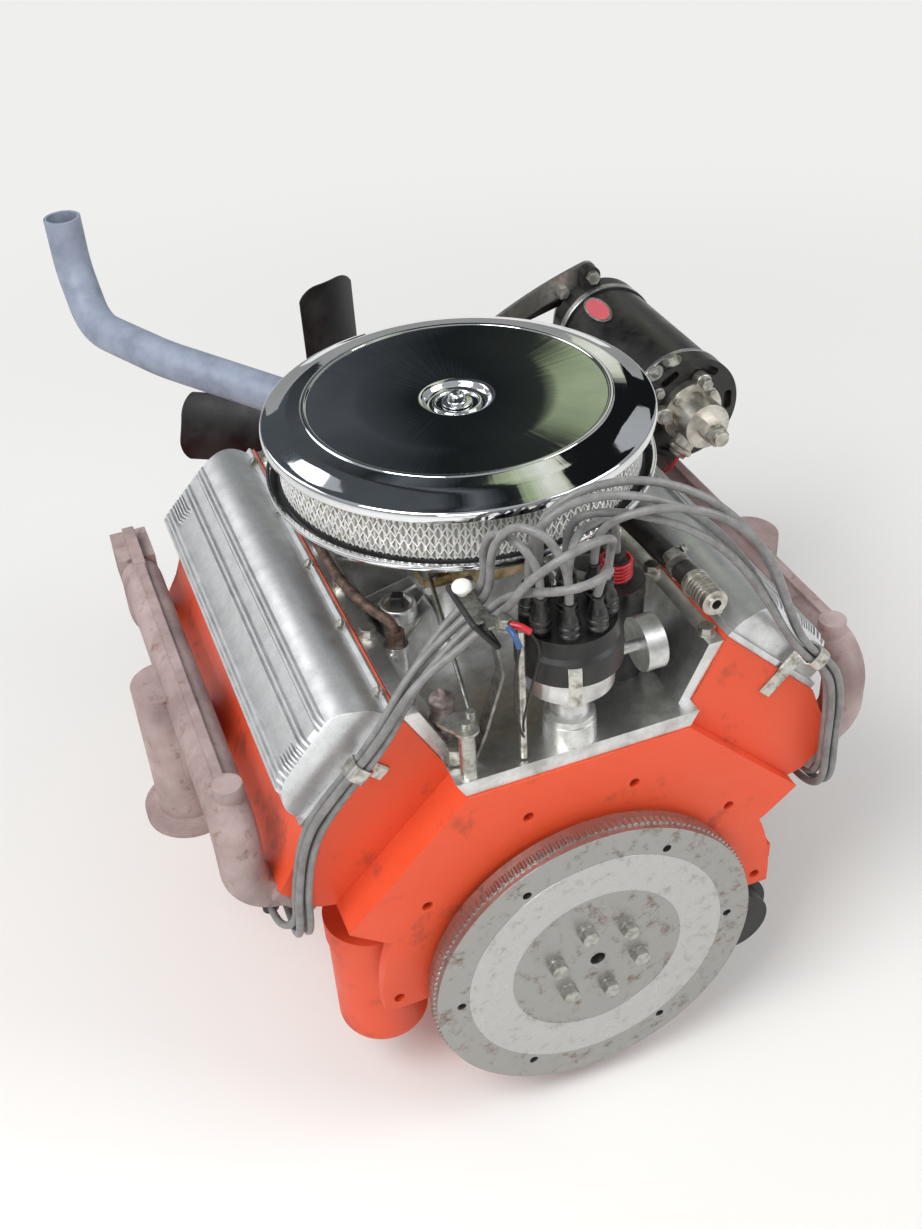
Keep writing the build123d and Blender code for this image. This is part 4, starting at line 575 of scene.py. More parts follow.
# Carburettor
# Zinc die casting with a gold-tan dichromate film, which stays metallic but lies dull in
# blotches of 22 mm. Screws hold its bowls, and four nuts hold it on the manifold's pad.
gold_zinc = finish(
    "gold_dichromate_zinc_casting", [(0.36, "8b7650"), (0.52, "c9b184"), (0.68, "ddcba6")], (0.55, 0.36),
    (22, 6.0, 0.62), [((1.2, 3.0, 0.55), 0.12)], edge=1.4, Metallic=0.75,
)
dress(gold_zinc, "carburettor")
carb_low, carb_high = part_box("carburettor")
bowl_half = 0.0368
bowl_places = [
    (side * bowl_half, y, carb_pad + over) for y in (carb_low.y, carb_high.y) for over in (0.020, 0.044)
    for side in (-1, 1)
]
bowl_ways = np.repeat([[0, -1, 0], [0, 1, 0]], 4, axis=0)
hexagon_heads("bowl_screws", bowl_places, bowl_ways, across=8, tall=5, washer=5.5)
lid_low, lid_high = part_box("air_cleaner_lid")
carb_y = (lid_low.y + lid_high.y) / 2
stud_places = [(x, carb_y + y, carb_pad + 0.008) for x in (-0.060, 0.060) for y in (-0.065, 0.065)]
hexagon_heads("carburettor_nuts", stud_places, (0, 0, 1), across=12.5, tall=9, washer=8.5)


# Air cleaner
# Pressed steel base and lid in bright chrome, with rolled rims. Between them stands the paper
# element in its white expanded-metal screen, with a black rubber ring above and below.
def angle_round_lid(tree, where):
    """The angle round the lid's axis in radians, the arc tangent of y over x."""
    axis = (0, carb_y, 0)
    level = add_node(tree, "ShaderNodeVectorMath", [("operation", "SUBTRACT")], in_0=where, in_1=axis)
    flat = add_node(tree, "ShaderNodeSeparateXYZ", Vector=level.outputs[0])
    angle = add_node(
        tree, "ShaderNodeMath", [("operation", "ARCTAN2")], in_0=flat.outputs["Y"], in_1=flat.outputs["X"]
    )
    return angle.outputs[0]


def wiping_streaks(tree, where):
    """Noise that changes with the angle alone, so each streak is a spoke."""
    spokes = add_node(tree, "ShaderNodeCombineXYZ", X=angle_round_lid(tree, where)).outputs[0]
    return add_node(tree, "ShaderNodeTexNoise", Vector=spokes, Scale=15.0, Detail=3.0).outputs["Fac"]


def pleats(tree, where):
    """0.5 + 0.5 sin(210 angle): one fold of the paper to each of 210 equal steps."""
    folds = add_node(
        tree, "ShaderNodeMath", [("operation", "MULTIPLY")], in_0=angle_round_lid(tree, where), in_1=210.0
    )
    wave = add_node(tree, "ShaderNodeMath", [("operation", "SINE")], in_0=folds.outputs[0])
    raised = add_node(
        tree, "ShaderNodeMath", [("operation", "MULTIPLY_ADD")], in_0=wave.outputs[0], in_1=0.5, in_2=0.5
    )
    return raised.outputs[0]


def rounded(corners, radius, steps=6):
    """Rounds the corners of a profile in mm, and gives it back in metres.

    Each corner b between a and c becomes the arc (1 - t)^2 p + 2 t (1 - t) b + t^2 q. p and q
    lie on the two sides, radius or 0.45 of the shorter side away from b."""
    corners = np.asarray(corners, float) / 1000
    before, middle, after = corners[:-2], corners[1:-1], corners[2:]
    run_in = np.linalg.norm(middle - before, axis=1, keepdims=True)
    run_out = np.linalg.norm(after - middle, axis=1, keepdims=True)
    reach = np.minimum(radius / 1000, 0.45 * np.minimum(run_in, run_out))
    start = middle - (middle - before) / run_in * reach
    end = middle + (after - middle) / run_out * reach
    t = np.linspace(0, 1, steps)[None, :, None]
    arcs = (1 - t) ** 2 * start[:, None] + 2 * t * (1 - t) * middle[:, None] + t**2 * end[:, None]
    return np.concatenate([corners[:1], arcs.reshape(-1, 2), corners[-1:]])


# Chrome is a near-perfect mirror (roughness 0.02 to 0.08). Faint swirls of wiping run round
# the lid, and a film of dust dulls it in soft patches.
chrome = finish(
    "polished_chrome_plate", [(0.30, "d5d7d9"), (0.60, "eceef0")], (0.075, 0.02), (80, 6.0, 0.6),
    [(wiping_streaks, 0.06)], edge=0.3, Metallic=1.0,
)
dress(chrome, "air_cleaner_base", "air_cleaner_lid", "lid_nut")
rim = lid_high.x * 1000
lid_seat = (0, carb_y, lid_low.z + 0.004)
lid_corners = [
    (0.01, 0.2), (rim - 6.0, 0.2), (rim - 3.0, -3.6), (rim - 0.4, -3.8), (rim, 2.0), (rim - 1.2, 5.5),
    (rim - 6.0, 7.0), (156.0, 13.8), (140.0, 16.0), (138.8, 17.2), (136.0, 17.2), (134.8, 15.8), (90.0, 15.0),
    (34.0, 13.4), (31.0, 12.5), (27.5, 7.0), (0.01, 7.0),
]
lid = lofted("chrome_lid", turned(rounded(lid_corners, 4.5, 5), lid_seat, steps=240), chrome, smooth=60)
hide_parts("air_cleaner_lid")
nut_low, nut_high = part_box("lid_nut")
nut_top = (nut_high.z - nut_low.z) * 1000
nut_corners = [
    (0.01, 0.8), (13.8, 0.8), (13.8, 2.0), (8.4, 2.4), (7.6, 6.0), (7.0, nut_top - 2.4), (4.0, nut_top - 0.3),
    (0.01, nut_top),
]
nut_grid = turned(rounded(nut_corners, 1.5), (0, carb_y, nut_low.z), steps=48)
nut = lofted("chrome_lid_nut", nut_grid, chrome, smooth=50)
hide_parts("lid_nut")
recess_edges = rounded([(22.5, 7.1), (22.5, 8.8), (19.5, 9.2), (19.0, 7.1)], 1.0)
lofted("recess_ring", turned(recess_edges, lid_seat, steps=96), chrome, along=True, smooth=50)
base_low, base_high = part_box("air_cleaner_base")
base_top = (base_high.z - base_low.z) * 1000
tray_corners = [
    (70.0, 0.0), (150.0, 0.0), (168.0, 0.5), (rim - 2.2, 4.0), (rim, 7.0), (rim + 0.4, base_top - 1.0),
    (rim - 1.0, base_top + 0.4), (rim - 2.8, base_top - 1.0), (rim - 4.0, 6.0), (168.0, 3.1), (130.0, 3.1),
]
tray_grid = turned(rounded(tray_corners, 3.0, 5), (0, carb_y, base_low.z), steps=240)
lofted("chrome_tray", tray_grid, chrome, along=True, smooth=60)

# Paper is matt and off-white, with painted shade in the pleats: its colour darkens in the hollow
# of each fold, on the same wave as the folds' relief. The strands before it are bright
# aluminium. Each zigzags round the element and meets the next one at its knuckles, so that
# an opening is a diamond 7.4 mm wide and 15 mm tall.
paper = finish(
    "pleated_filter_paper", [(0.1, "8a877f"), (0.8, "d6d3ca")], 0.9, pleats, [(pleats, 1.6)], edge=0.3
)
dress(paper, "air_element")
screen_metal = finish("bright_expanded_aluminium", "f3f4f4", 0.34, slot="element_mesh", Metallic=0.45)
element_low, element_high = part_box("air_element")
diamonds = 140
diamond_rows = 2.75
strand_half = 0.00085
diamond_tall = (element_high.z - element_low.z) / diamond_rows
swing = diamond_tall / 4 - 0.8 * strand_half
strand, knuckle = np.ogrid[:7, :2 * diamonds]
# Strand k lies k / 2 diamonds up, and swings by turns up and down at its knuckles. Its
# section has four corners, strand_half to each side and 1.0 mm deep.
strand_z = element_low.z + diamond_tall / 2 * strand + swing * np.where((knuckle + strand) % 2, 1, -1)
screen_z = strand_z[..., None] + strand_half * np.array([1, -1, -1, 1])
screen_z = np.clip(screen_z, element_low.z - 0.001, element_high.z + 0.001)
screen_r = element_high.x + np.array([0.0014, 0.0014, 0.0004, 0.0004]) + 0 * screen_z
screen_turn = knuckle[..., None] * np.pi / diamonds
screen_y = carb_y + screen_r * np.sin(screen_turn)
screen_grids = np.stack([screen_r * np.cos(screen_turn), screen_y, screen_z], axis=-1)
lofted("expanded_metal_screen", screen_grids, screen_metal, along=True, smooth=20)


def black_rubber(name, light, dark, gloss, slot=None):
    """Moulded rubber (IOR 1.52): matt black that dust turns brownish grey, with a grain of 0.9 mm."""
    return finish(
        name, [(0.38, dark), (0.68, light)], (gloss, gloss + 0.2), (16, 6.0, 0.65),
        [((0.9, 2.0, 0.55), 0.05)], edge=0.6, slot=slot, IOR=1.52,
    )


dress(black_rubber("black_moulded_rubber_seals", "2e2c2a", "101011", 0.45), "element_seals")


# Distributor, its boots and the coil
# Cast aluminium body under a moulded black cap. Each tower carries a bottle-shaped rubber
# boot with two ring bands. The coil is a painted steel can with a black tower.
dress(intake_aluminium, "distributor_body")
dress(black_enamel("black_phenolic_cap", "2b2927", "0d0d0e", 0.30), "distributor_cap")
boot_rubber = black_rubber("black_silicone_boots", "343230", "0c0c0d", 0.25)
dress(boot_rubber, "cap_boots", "plug_boots_left", "plug_boots_right")
dress(black_enamel("black_enamel_on_coil", "34322f", "0e0e0f", 0.25), "ignition_coil")
boots_low, boots_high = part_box("cap_boots")
cap_centre = np.array([(boots_low.x + boots_high.x) / 2, (boots_low.y + boots_high.y) / 2])
tower_circle = 0.031
tower_turn = np.radians(22.5 + 45 * np.arange(8))
outer_towers = cap_centre + tower_circle * np.stack([np.cos(tower_turn), np.sin(tower_turn)], axis=-1)
boot_tall = (boots_high.z - boots_low.z) * 1000
boot_profile = rounded([
    (0.01, 0.0), (9.2, 0.2), (9.2, 2.6), (8.0, 3.4), (8.0, 6.2), (9.2, 7.0), (9.2, 9.4), (8.1, 10.2),
    (8.0, 15.0), (5.6, 20.5), (5.1, 26.2), (5.5, 27.0), (5.5, boot_tall - 0.6), (0.01, boot_tall),
], 0.7, 4)
boot_grids = [turned(boot_profile, (x, y, boots_low.z), steps=40) for x, y in [*outer_towers, cap_centre]]
cap_boots = lofted("bottle_boots", boot_grids, boot_rubber, smooth=60)
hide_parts("cap_boots")

# Two spring clips hold the cap. A clip's path is (mm outside the cap, mm over its foot), and
# its section (mm sideways, mm outwards), carried along the path on the axes of its side.
clip_steel = plated_steel("bright_spring_clips", "cfcdc6", "8f8b80", 0.25)
dress(clip_steel, "lead_cradle_left", "lead_cradle_right")
cap_low, cap_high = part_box("distributor_cap")
clip_path = np.array([(-13.0, 24.5), (-8.0, 25.5), (1.6, 17.0), (2.6, 6.0), (2.4, -8.0), (3.6, -16.0)]) / 1000
clip_section = np.array([(-5.5, 0.0), (5.5, 0.0), (5.5, 0.9), (-5.5, 0.9)]) / 1000
outside, climb = clip_path.T[:, :, None]
sideways, depth = clip_section.T
clip_local = np.stack(np.broadcast_arrays(cap_high.x + outside + depth, sideways, climb), axis=-1)
clip_grids = [
    (*cap_centre, cap_low.z) + clip_local @ axes_along((0, 0, 1), (math.cos(turn), math.sin(turn), 0))
    for turn in np.radians([72, 252])
]
lofted("spring_clips", clip_grids, clip_steel)


# Plug leads and coil lead
# Seven-millimetre silicone leads, warm grey with a dull sheen (IOR 1.43) and soil in patches
# of 12 mm. They run over the heads' rear ends, through the wire cradles and to the plugs.
lead_grey = finish(
    "warm_grey_silicone_leads", [(0.36, "6d6c6b"), (0.54, "7d7c7b"), (0.72, "8a8988")], (0.27, 0.42),
    (12, 5.0, 0.65), IOR=1.43,
)
# A row gives, in mm, the left lead's length and points from the cap to the plug, the right
# lead's length and first points, and how many of the left's last points it then mirrors.
lead_rows = [
    (591, [
        (11.9, 3.7, 396.6), (12, 5, 419.9), (17, 0, 439.9), (27, -7, 458.9), (43, -26, 459.9),
        (52, -37, 443.9), (56, -47, 420.9), (56, -50, 383), (92, -50, 357.7), (133.4, -38, 337.1),
        (169.7, -27.9, 289.9), (212.1, -27.9, 247.5), (240.2, -28, 213.3), (255, -28, 150),
        (257, -29, 112), (264, -43.8, 89), (271, -59.8, 82.5), (271.5, -77.6, 82),
    ], 622, [
        (11.9, -53.6, 396.4), (12, -53, 425.9), (4, -48, 449.9), (-24, -42, 465.9), (-70, -34, 465.9),
        (-118, -22, 443.9), (-158, -12, 401.9), (-186, -7, 341.9), (-208.7, -5.5, 279.4),
        (-244, -5.5, 244), (-255.1, -5.6, 208.4),
    ], 5),
    (771, [
        (-28.6, -13.1, 396.9), (-29, -9, 425.9), (-22, 12, 451.9), (0, 30, 467.9), (31, 33, 462.9),
        (54, 20, 438.9), (60, 4, 410.9), (56, -26, 383), (92, -26, 357.7), (133.4, -24, 337.1),
        (169.7, -20.1, 289.9), (212.1, -20.1, 247.5), (240.2, -20, 213.3), (254, -20, 150),
        (257, -21, 106), (258.5, -38, 80), (257, -75, 74), (257.5, -125.1, 74.5), (260, -158.1, 77.5),
        (270.5, -174.1, 81.5), (271.5, -189.3, 82),
    ], 691, [
        (-28.6, -36.9, 396.5), (-29, -36, 423.9), (-46, -24, 443.9), (-84, -8, 451.9), (-128, 4, 433.9),
        (-166, 5, 387.9), (-188, 3, 329.9), (-208.7, 2.3, 279.4), (-244, 2.3, 244), (-255.1, 2.4, 208.4),
    ], 8),
    (773, [
        (28.6, -13.1, 396.5), (28.5, -12, 418.9), (35.5, -24, 436.9), (44.5, -44, 441.9),
        (51.5, -62, 430.9), (54, -68.5, 406.9), (56, -62, 383), (92, -62, 357.7), (132.4, -44, 327.5),
        (164.2, -27.9, 284.4), (206.6, -27.9, 242), (233.1, -28, 206.3), (247, -28, 150), (248, -29, 112),
        (249.5, -46, 89), (248, -85, 82.5), (247, -135, 81), (247, -190, 81.5), (249.5, -237.9, 83),
        (259, -265.9, 84), (270.5, -285.4, 82.5), (271.5, -301.1, 82),
    ], 842, [
        (28.6, -36.9, 396.5), (28, -36, 425.9), (18, -31, 451.9), (-10, -28, 466.9), (-56, -25, 460.9),
        (-104, -16, 436.9), (-144, -10, 389.9), (-172, -6, 337.9), (-203.2, -5.5, 273.9),
        (-238.5, -5.5, 238.5), (-246.2, -5.6, 201),
    ], 10),
    (975, [
        (-12, 3.8, 397.2), (-15, 10, 423.9), (-10, 31, 438.9), (0, 45, 446.9), (20, 53, 447.9),
        (39, 43, 441.9), (46, 20, 428.9), (51, -10, 407.9), (56, -38, 383), (92, -38, 357.7),
        (132.4, -30, 327.5), (164.2, -20.1, 284.4), (206.6, -20.1, 242), (233.1, -20, 206.3),
        (246, -20, 150), (248, -21, 102), (249.5, -42, 77), (248, -85, 72.5), (247, -140, 71),
        (247, -205, 71), (248, -270, 71.5), (249.5, -325, 73), (255, -362.2, 75.5), (264, -386.2, 79),
        (271, -400.2, 81.5), (271.5, -413, 82),
    ], 910, [
        (-11.9, -53.6, 396.4), (-12, -54, 423.9), (-26, -46, 439.9), (-62, -26, 439.9), (-104, -4, 423.9),
        (-140, 3, 385.9), (-170, 3, 334.9), (-203.2, 2.3, 273.9), (-238.5, 2.3, 238.5), (-246.2, 2.4, 201),
    ], 12),
]
coil_route = [
    (-74, -87.9, 360.8), (-73, -86, 378.4), (-67, -81, 400.4), (-53, -70, 412.4), (-35, -56, 418.4),
    (-17, -40, 427.9), (-3, -27, 418.9), (-0.1, -25.1, 396.9),
]


def cord_curve(name, points, radius, material, node):
    """A cord in a node's place: a quadratic NURBS between its end points, with a round bevel."""
    curve = bpy.data.curves.new(name, "CURVE")
    curve.dimensions = "3D"
    curve.bevel_depth = radius
    curve.bevel_resolution = 5
    curve.resolution_u = 10
    curve.use_fill_caps = True
    spline = curve.splines.new("NURBS")
    spline.points.add(len(points) - 1)
    spline.points.foreach_set("co", np.c_[points, np.ones(len(points))].reshape(-1))
    spline.order_u = 3
    spline.use_endpoint_u = True
    curve.materials.append(material)
    piece = add_object(name, curve)
    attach(piece, "engine")
    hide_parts(node)
    return piece


lead_wide = 0.007
leads = []
for row, (left_length, left_route, right_length, right_route, mirrored) in enumerate(lead_rows, 1):
    left_points = np.array(left_route) / 1000
    right_points = np.concatenate([np.array(right_route) / 1000, on_right(left_points[-mirrored:])])
    leads.append((f"lead_left_{row}", left_length, left_points))
    leads.append((f"lead_right_{row}", right_length, right_points))
leads.append(("coil_lead", 152, np.array(coil_route) / 1000))
for name, length, points in leads:
    lead = cord_curve(name + "_silicone", points, lead_wide / 2, lead_grey, name)


# Lead bracket and cradles
# Folded plates of zinc-plated steel carry four leads in a rubber-edged comb. Two rings of
# steel wire hold the bundles against the heads. A knob and a terminal stand on the plate.
dress(plated_steel("dull_folded_steel_bracket", "a5a49e", "6d6a63", 0.36), "lead_bracket")
comb_rubber = black_rubber("black_edging_rubber", "2c2b29", "0d0d0e", 0.40, "boot_rubber")
plate_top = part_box("lead_bracket")[1].z


def tube(name, origin, points, radius, material, steps=14):
    """A round wire or rod. Its smooth path runs through given points in mm from origin, and
    the radius is in mm too.

    Between b and c, with a before and d after them, the path is (2 b + (c - a) u + (2 a - 5 b
    + 4 c - d) u^2 + (3 b - a - 3 c + d) u^3) / 2. Rings stand square to it."""
    points = np.asarray(points, float) / 1000 + origin
    padded = np.concatenate([2 * points[:1] - points[1:2], points, 2 * points[-1:] - points[-2:-1]])
    a, b, c, d = padded[:-3, None], padded[1:-2, None], padded[2:-1, None], padded[3:, None]
    u = np.linspace(0, 1, 8, endpoint=False)[None, :, None]
    path = (2 * b + (c - a) * u + (2 * a - 5 * b + 4 * c - d) * u**2 + (3 * b - a - 3 * c + d) * u**3) / 2
    path = np.concatenate([path.reshape(-1, 3), points[-1:]])
    along = np.gradient(path, axis=0)
    along /= np.linalg.norm(along, axis=1, keepdims=True)
    side = np.cross(along, [0.13, 0.31, 0.94])
    side /= np.linalg.norm(side, axis=1, keepdims=True)
    t = np.linspace(0, 2 * np.pi, steps, endpoint=False)[:, None]
    ring = radius / 1000 * (np.cos(t) * side[:, None] + np.sin(t) * np.cross(along, side)[:, None])
    ring = np.concatenate([ring[:1] * 1e-3, ring, ring[-1:] * 1e-3])
    path = np.concatenate([path[:1], path, path[-1:]])
    return lofted(name, path[:, None] + ring, material, smooth=50)


white_plastic = finish("white_moulded_plastic", "eceae4", 0.38, slot="plug_ceramic", IOR=1.49)
knob_profile = rounded(
    [(0.01, 0.0), (4.6, 0.0), (5.0, 3.0), (8.0, 4.6), (8.6, 8.0), (6.6, 11.2), (0.01, 12.2)], 2.0, 5
)
knob_grid = turned(knob_profile, (0.0775, -0.0560, plate_top), steps=48)
lofted("bracket_knob", knob_grid, white_plastic, smooth=60)
terminal_place = (0.0615, -0.0060, plate_top)
hexagon_heads("terminal_nut", [terminal_place], (0, 0, 1), across=9.5, tall=6.6, washer=7.5)
# Insulation is glossy PVC (IOR 1.53), each wire of one even colour.
red_pvc = finish("red_pvc", "b3202a", 0.35, slot="lead_rubber", IOR=1.53)
blue_pvc = finish("blue_pvc", "2f4f7d", 0.35, slot="lead_rubber", IOR=1.53)
black_pvc = finish("black_pvc", "111112", 0.35, slot="lead_rubber", IOR=1.53)
on_plate = (0, 0, plate_top)
tube("red_terminal_sleeve", on_plate, [(59, -1, 2), (53, 5, 2), (47, 10, -2)], 2.8, red_pvc)
tube("blue_terminal_sleeve", on_plate, [(62, 1, 2), (60.5, 9, -1), (58.5, 15, -10)], 2.6, blue_pvc)
red_end = [(47, 10, -2), (42, 14, -20), (50, 12, -60), (52, 0, -100), (47, -10, -125)]
blue_end = [(58.5, 15, -10), (64, 18, -30), (62, 10, -70), (56, 4, -105), (47, -10, -128)]
tube("thin_wire_1", on_plate, red_end, 1.1, black_pvc, steps=8)
tube("thin_wire_2", on_plate, blue_end, 1.1, black_pvc, steps=8)

# The comb's rubber edging is a bead round a rectangle with rounded corners: an ellipse 1.35
# times as large, clipped at the plate's half length and half height, and leaned by 35 degrees.
comb_lean = math.radians(35)
comb_way = np.array([math.cos(comb_lean), 0, -math.sin(comb_lean)])
comb_up = np.array([math.sin(comb_lean), 0, math.cos(comb_lean)])
comb_long = 0.028
comb_tall = 0.018
edge_turn = np.linspace(0, 2 * np.pi, 96, endpoint=False)[:, None]
edge_y = np.clip(1.35 * comb_long * np.cos(edge_turn), -comb_long, comb_long)
edge_up = np.clip(1.35 * comb_tall * np.sin(edge_turn), -comb_tall, comb_tall)
edge_path = edge_y * [0, 1, 0] + edge_up * comb_up
outward = edge_path / np.linalg.norm(edge_path, axis=1, keepdims=True)
bead_turn = np.linspace(0, 2 * np.pi, 10, endpoint=False)[:, None]
bead_radius = 0.0026
bead = bead_radius * (np.cos(bead_turn) * outward[:, None] - np.sin(bead_turn) * comb_way)
comb_middle = (0.074, -0.044, 0.37035)
lofted("comb_edging", comb_middle + edge_path[:, None] + bead, comb_rubber, along=True, smooth=60)

# A bright strut stands beside the cap, and five red turns round the coil's terminal.
strut_route = [(49, -10, 238.5), (50, -6, 300), (52, 2, plate_top * 1000 - 4)]
tube("bright_strut", (0, 0, 0), strut_route, 3.2, clip_steel)
wind = np.linspace(0, 5 * 2 * np.pi, 46)
wound = np.stack([12.5 * np.cos(wind), 12.5 * np.sin(wind), 3.6 * wind / (2 * np.pi)], axis=-1)
coil_terminal = (-0.074, -0.088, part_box("ignition_coil")[1].z - 0.024)
tube("red_wound_terminal", coil_terminal, wound, 1.7, red_pvc, steps=8)


# Senders, plugs and lugs on the manifold
# A pinkish oil-pressure sender with a crimped ring, a black square-headed plug in a cast
# boss, and a lug held by a hexagon bolt on a broad washer.
sender_paint = finish(
    "pinkish_grey_sender_case", [(0.35, "7d6f6c"), (0.65, "a39692")], 0.42, (8, 4.0, 0.55),
    slot="fuel_pump_zinc", Metallic=0.4,
)
manifold_floor = intake_low.z + 0.016
sender_profile = rounded([
    (0.01, 0.0), (8.0, 0.0), (8.0, 12.0), (5.8, 14.0), (5.8, 20.0), (11.8, 21.5), (12.2, 24.0), (10.4, 26.2),
    (10.4, 40.0), (11.6, 41.0), (11.6, 44.0), (9.0, 46.0), (4.0, 47.5), (3.0, 54.0), (0.01, 54.5),
], 1.0, 4)
sender_grid = turned(sender_profile, (0.1000, -0.0620, manifold_floor), steps=48)
lofted("pressure_sender", sender_grid, sender_paint, smooth=50)
boss_profile = rounded(
    [(19.0, 0.0), (17.2, 50.0), (16.0, 53.0), (12.8, 53.0), (11.8, 50.0), (0.01, 49.8)], 1.6, 4
)
boss_foot = np.array([0.0930, -0.1930, manifold_floor])
lofted("cast_boss", turned(boss_profile, boss_foot, steps=64), intake_aluminium, smooth=50)

# The plug's head is a square, 11.2 mm across, cut from a round of 7.4 mm radius.
black_steel = black_enamel("black_oxide_steel", "33312e", "0f0f10", 0.42, "steel_dark")
dress(black_steel, "generator_bracket")
square_turn = np.radians(np.arange(20, 380, 10))
square_radius = np.minimum(0.0056 / np.cos(((square_turn - 0.35) % (np.pi / 2)) - np.pi / 4), 0.0074)
square_rings = np.array([1e-3, 1.0, 1.0, 0.86, 1e-3])[:, None] * square_radius
square_z = np.array([0.0500, 0.0500, 0.0600, 0.0612, 0.0612])[:, None] + 0 * square_rings
square_head = [square_rings * np.cos(square_turn), square_rings * np.sin(square_turn), square_z]
lofted("square_headed_plug", boss_foot + np.stack(square_head, axis=-1), black_steel)
lug_place = (0.1010, -0.0330, manifold_floor + 0.0015)
hexagon_heads("lug_bolt", [lug_place], (0, 0, 1), across=14.2, tall=12.5, washer=10.5)


# Belt, fan clutch and fan
# The belt is black rubber. The clutch is a finned aluminium casting, held by four bolts, and
# the five blades are black-painted steel on its spider.
dress(black_rubber("black_belt_rubber", "393734", "121212", 0.55), "drive_belt")
dress(cast_aluminium("die_cast_aluminium_clutch", "d2d3d3", "92918c", 0.34, 0.10), "fan_clutch")
dress(black_enamel("black_enamel_on_fan", "232323", "0e0e0f", 0.28), "fan_blades")
clutch_low, clutch_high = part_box("fan_clutch")
hub_face = (0, clutch_low.y + 0.001, (clutch_low.z + clutch_high.z) / 2)
hub_places = round_places(hub_face, 45 + 90 * np.arange(4), 0.026)
hexagon_heads("fan_hub_bolts", hub_places, (0, -1, 0), across=10, tall=6, washer=6, body="fan")


# Top hose
# Moulded rubber hose, its skin faded to a chalky blue grey in patches of 35 mm. A worm-drive
# clamp of stainless steel holds it on the housing's neck.
hose_rubber = finish(
    "faded_blue_grey_hose_rubber", [(0.34, "747c8c"), (0.52, "858d9e"), (0.70, "9098a8")], (0.62, 0.48),
    (35, 6.0, 0.65), [((1.1, 2.0, 0.55), 0.08)], edge=0.8, IOR=1.52,
)
dress(hose_rubber, "radiator_hose")


def band_clamp(name, middle, way, hose_radius, wide, start=(0, 0, 1)):
    """Worm-drive clamp round a hose along way: a flat band 1.6 mm thick and wide across, its
    screw's housing on the side of start, and the screw. Sizes are in mm.

    The band is a rectangle turned about way. The housing is its outline (sideways, outwards),
    carried along way and shrunk to a point at both ends."""
    middle = np.array(middle)
    axes = axes_along(way, start)
    outer = hose_radius + 1.2
    inner = outer - 1.6
    band = np.array([(inner, -wide / 2), (outer, -wide / 2), (outer, wide / 2), (inner, wide / 2)]) / 1000
    lofted(name + "_band", turned(band, middle, way, 96, start), clip_steel, along=True)
    shell = np.array([(-9.0, 0.0), (-9.0, 4.5), (-6.0, 7.8), (6.0, 7.8), (9.0, 4.5), (9.0, 0.0)])
    shrink = np.array([1e-3, 1, 1, 1e-3])[:, None]
    sideways, outwards = shrink * shell.T[:, None]
    ends = np.array([-6.2, -6.2, 6.2, 6.2])[:, None] + 0 * sideways
    housing = np.stack([outer - 1 + outwards, sideways, ends], axis=-1) / 1000
    lofted(name + "_housing", middle + housing @ axes, clip_steel)
    screw_place = middle + np.array([outer + 3.6, -8.5, 0]) / 1000 @ axes
    hexagon_heads(name + "_screw", [screw_place], -axes[1], across=7, tall=4.2, washer=4.8)


neck_way = Vector((0.70, -0.714, 0)).normalized()
neck_reach = 0.047
neck_end = Vector((0, outlet_y, outlet_high.z - 0.023)) + neck_way * neck_reach
band_clamp("top_hose_clamp", neck_end, neck_way, hose_radius=21.0, wide=12.6)


# Generator, its bracket, arm and revolution counter drive
# Steel field frame in black enamel between bare aluminium ends. The slotted arm and the
# bracket are plated steel, and the counter's drive is a small casting with a hexagon nut.
dress(black_enamel("black_enamel_on_generator", "2c2a28", "0c0c0d", 0.24), "generator_body")
dress(zinc_steel, "generator_pulley", "adjusting_arm")
drive_casting = cast_aluminium("sand_cast_aluminium_drive", "dcd8d0", "a39d92", 0.32, 0.20)
dress(drive_casting, "tach_drive")
end_aluminium = cast_aluminium(
    "turned_aluminium_end_frames", "dadbdb", "a9a8a4", 0.26, 0.03, slot="tach_aluminium"
)
body_low, body_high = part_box("generator_body")
rotor_low, rotor_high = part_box("generator_pulley")
rotor_x = (rotor_low.x + rotor_high.x) / 2
rotor_z = (rotor_low.z + rotor_high.z) / 2
body_radius = rotor_x - body_low.x
frame_front = body_low.y
frame_rear = body_high.y


def bright_band(name, y_low, y_high):
    """A rounded band that stands 0.4 mm over the frame: its profile turned about the rotor."""
    outer = body_radius * 1000 + 0.4
    wide = (y_high - y_low) * 1000
    profile = rounded([(outer - 6, 0), (outer, 0), (outer, wide), (outer - 6, wide)], 2.0, 5)
    grid = turned(profile, (rotor_x, y_low, rotor_z), (0, 1, 0), 120)
    lofted(name, grid, end_aluminium, along=True, smooth=40)


bright_band("front_bright_band", frame_front + 0.0200, frame_front + 0.0302)
bright_band("rear_bright_band", frame_rear - 0.0262, frame_rear - 0.0195)
through_places = round_places((rotor_x, frame_rear, rotor_z), [38, 218], 0.046)
hexagon_heads("through_bolts", through_places, (0, 1, 0), across=9, tall=6, washer=6)
rotor_nose = (rotor_x, rotor_low.y + 0.0185, rotor_z)
hexagon_heads("rotor_nut", [rotor_nose], (0, -1, 0), across=19, tall=14, washer=13.5, body="generator_rotor")
arm_places = np.array([(0.012, 0.012, 0.068), (0.044, -0.002, 0.051)]) + (rotor_x, frame_front, rotor_z)
hexagon_heads("arm_bolts", arm_places, (0, 1, 0), across=13.5, tall=10, washer=9.8)

# An oval of red enamel without any marks, in a zinc-plated rim, lies on the frame's side.
red_enamel = finish("red_enamel_oval", "c45a62", 0.25, slot="starter_black", IOR=1.5)
oval_turn = np.linspace(0, 2 * np.pi, 48, endpoint=False)


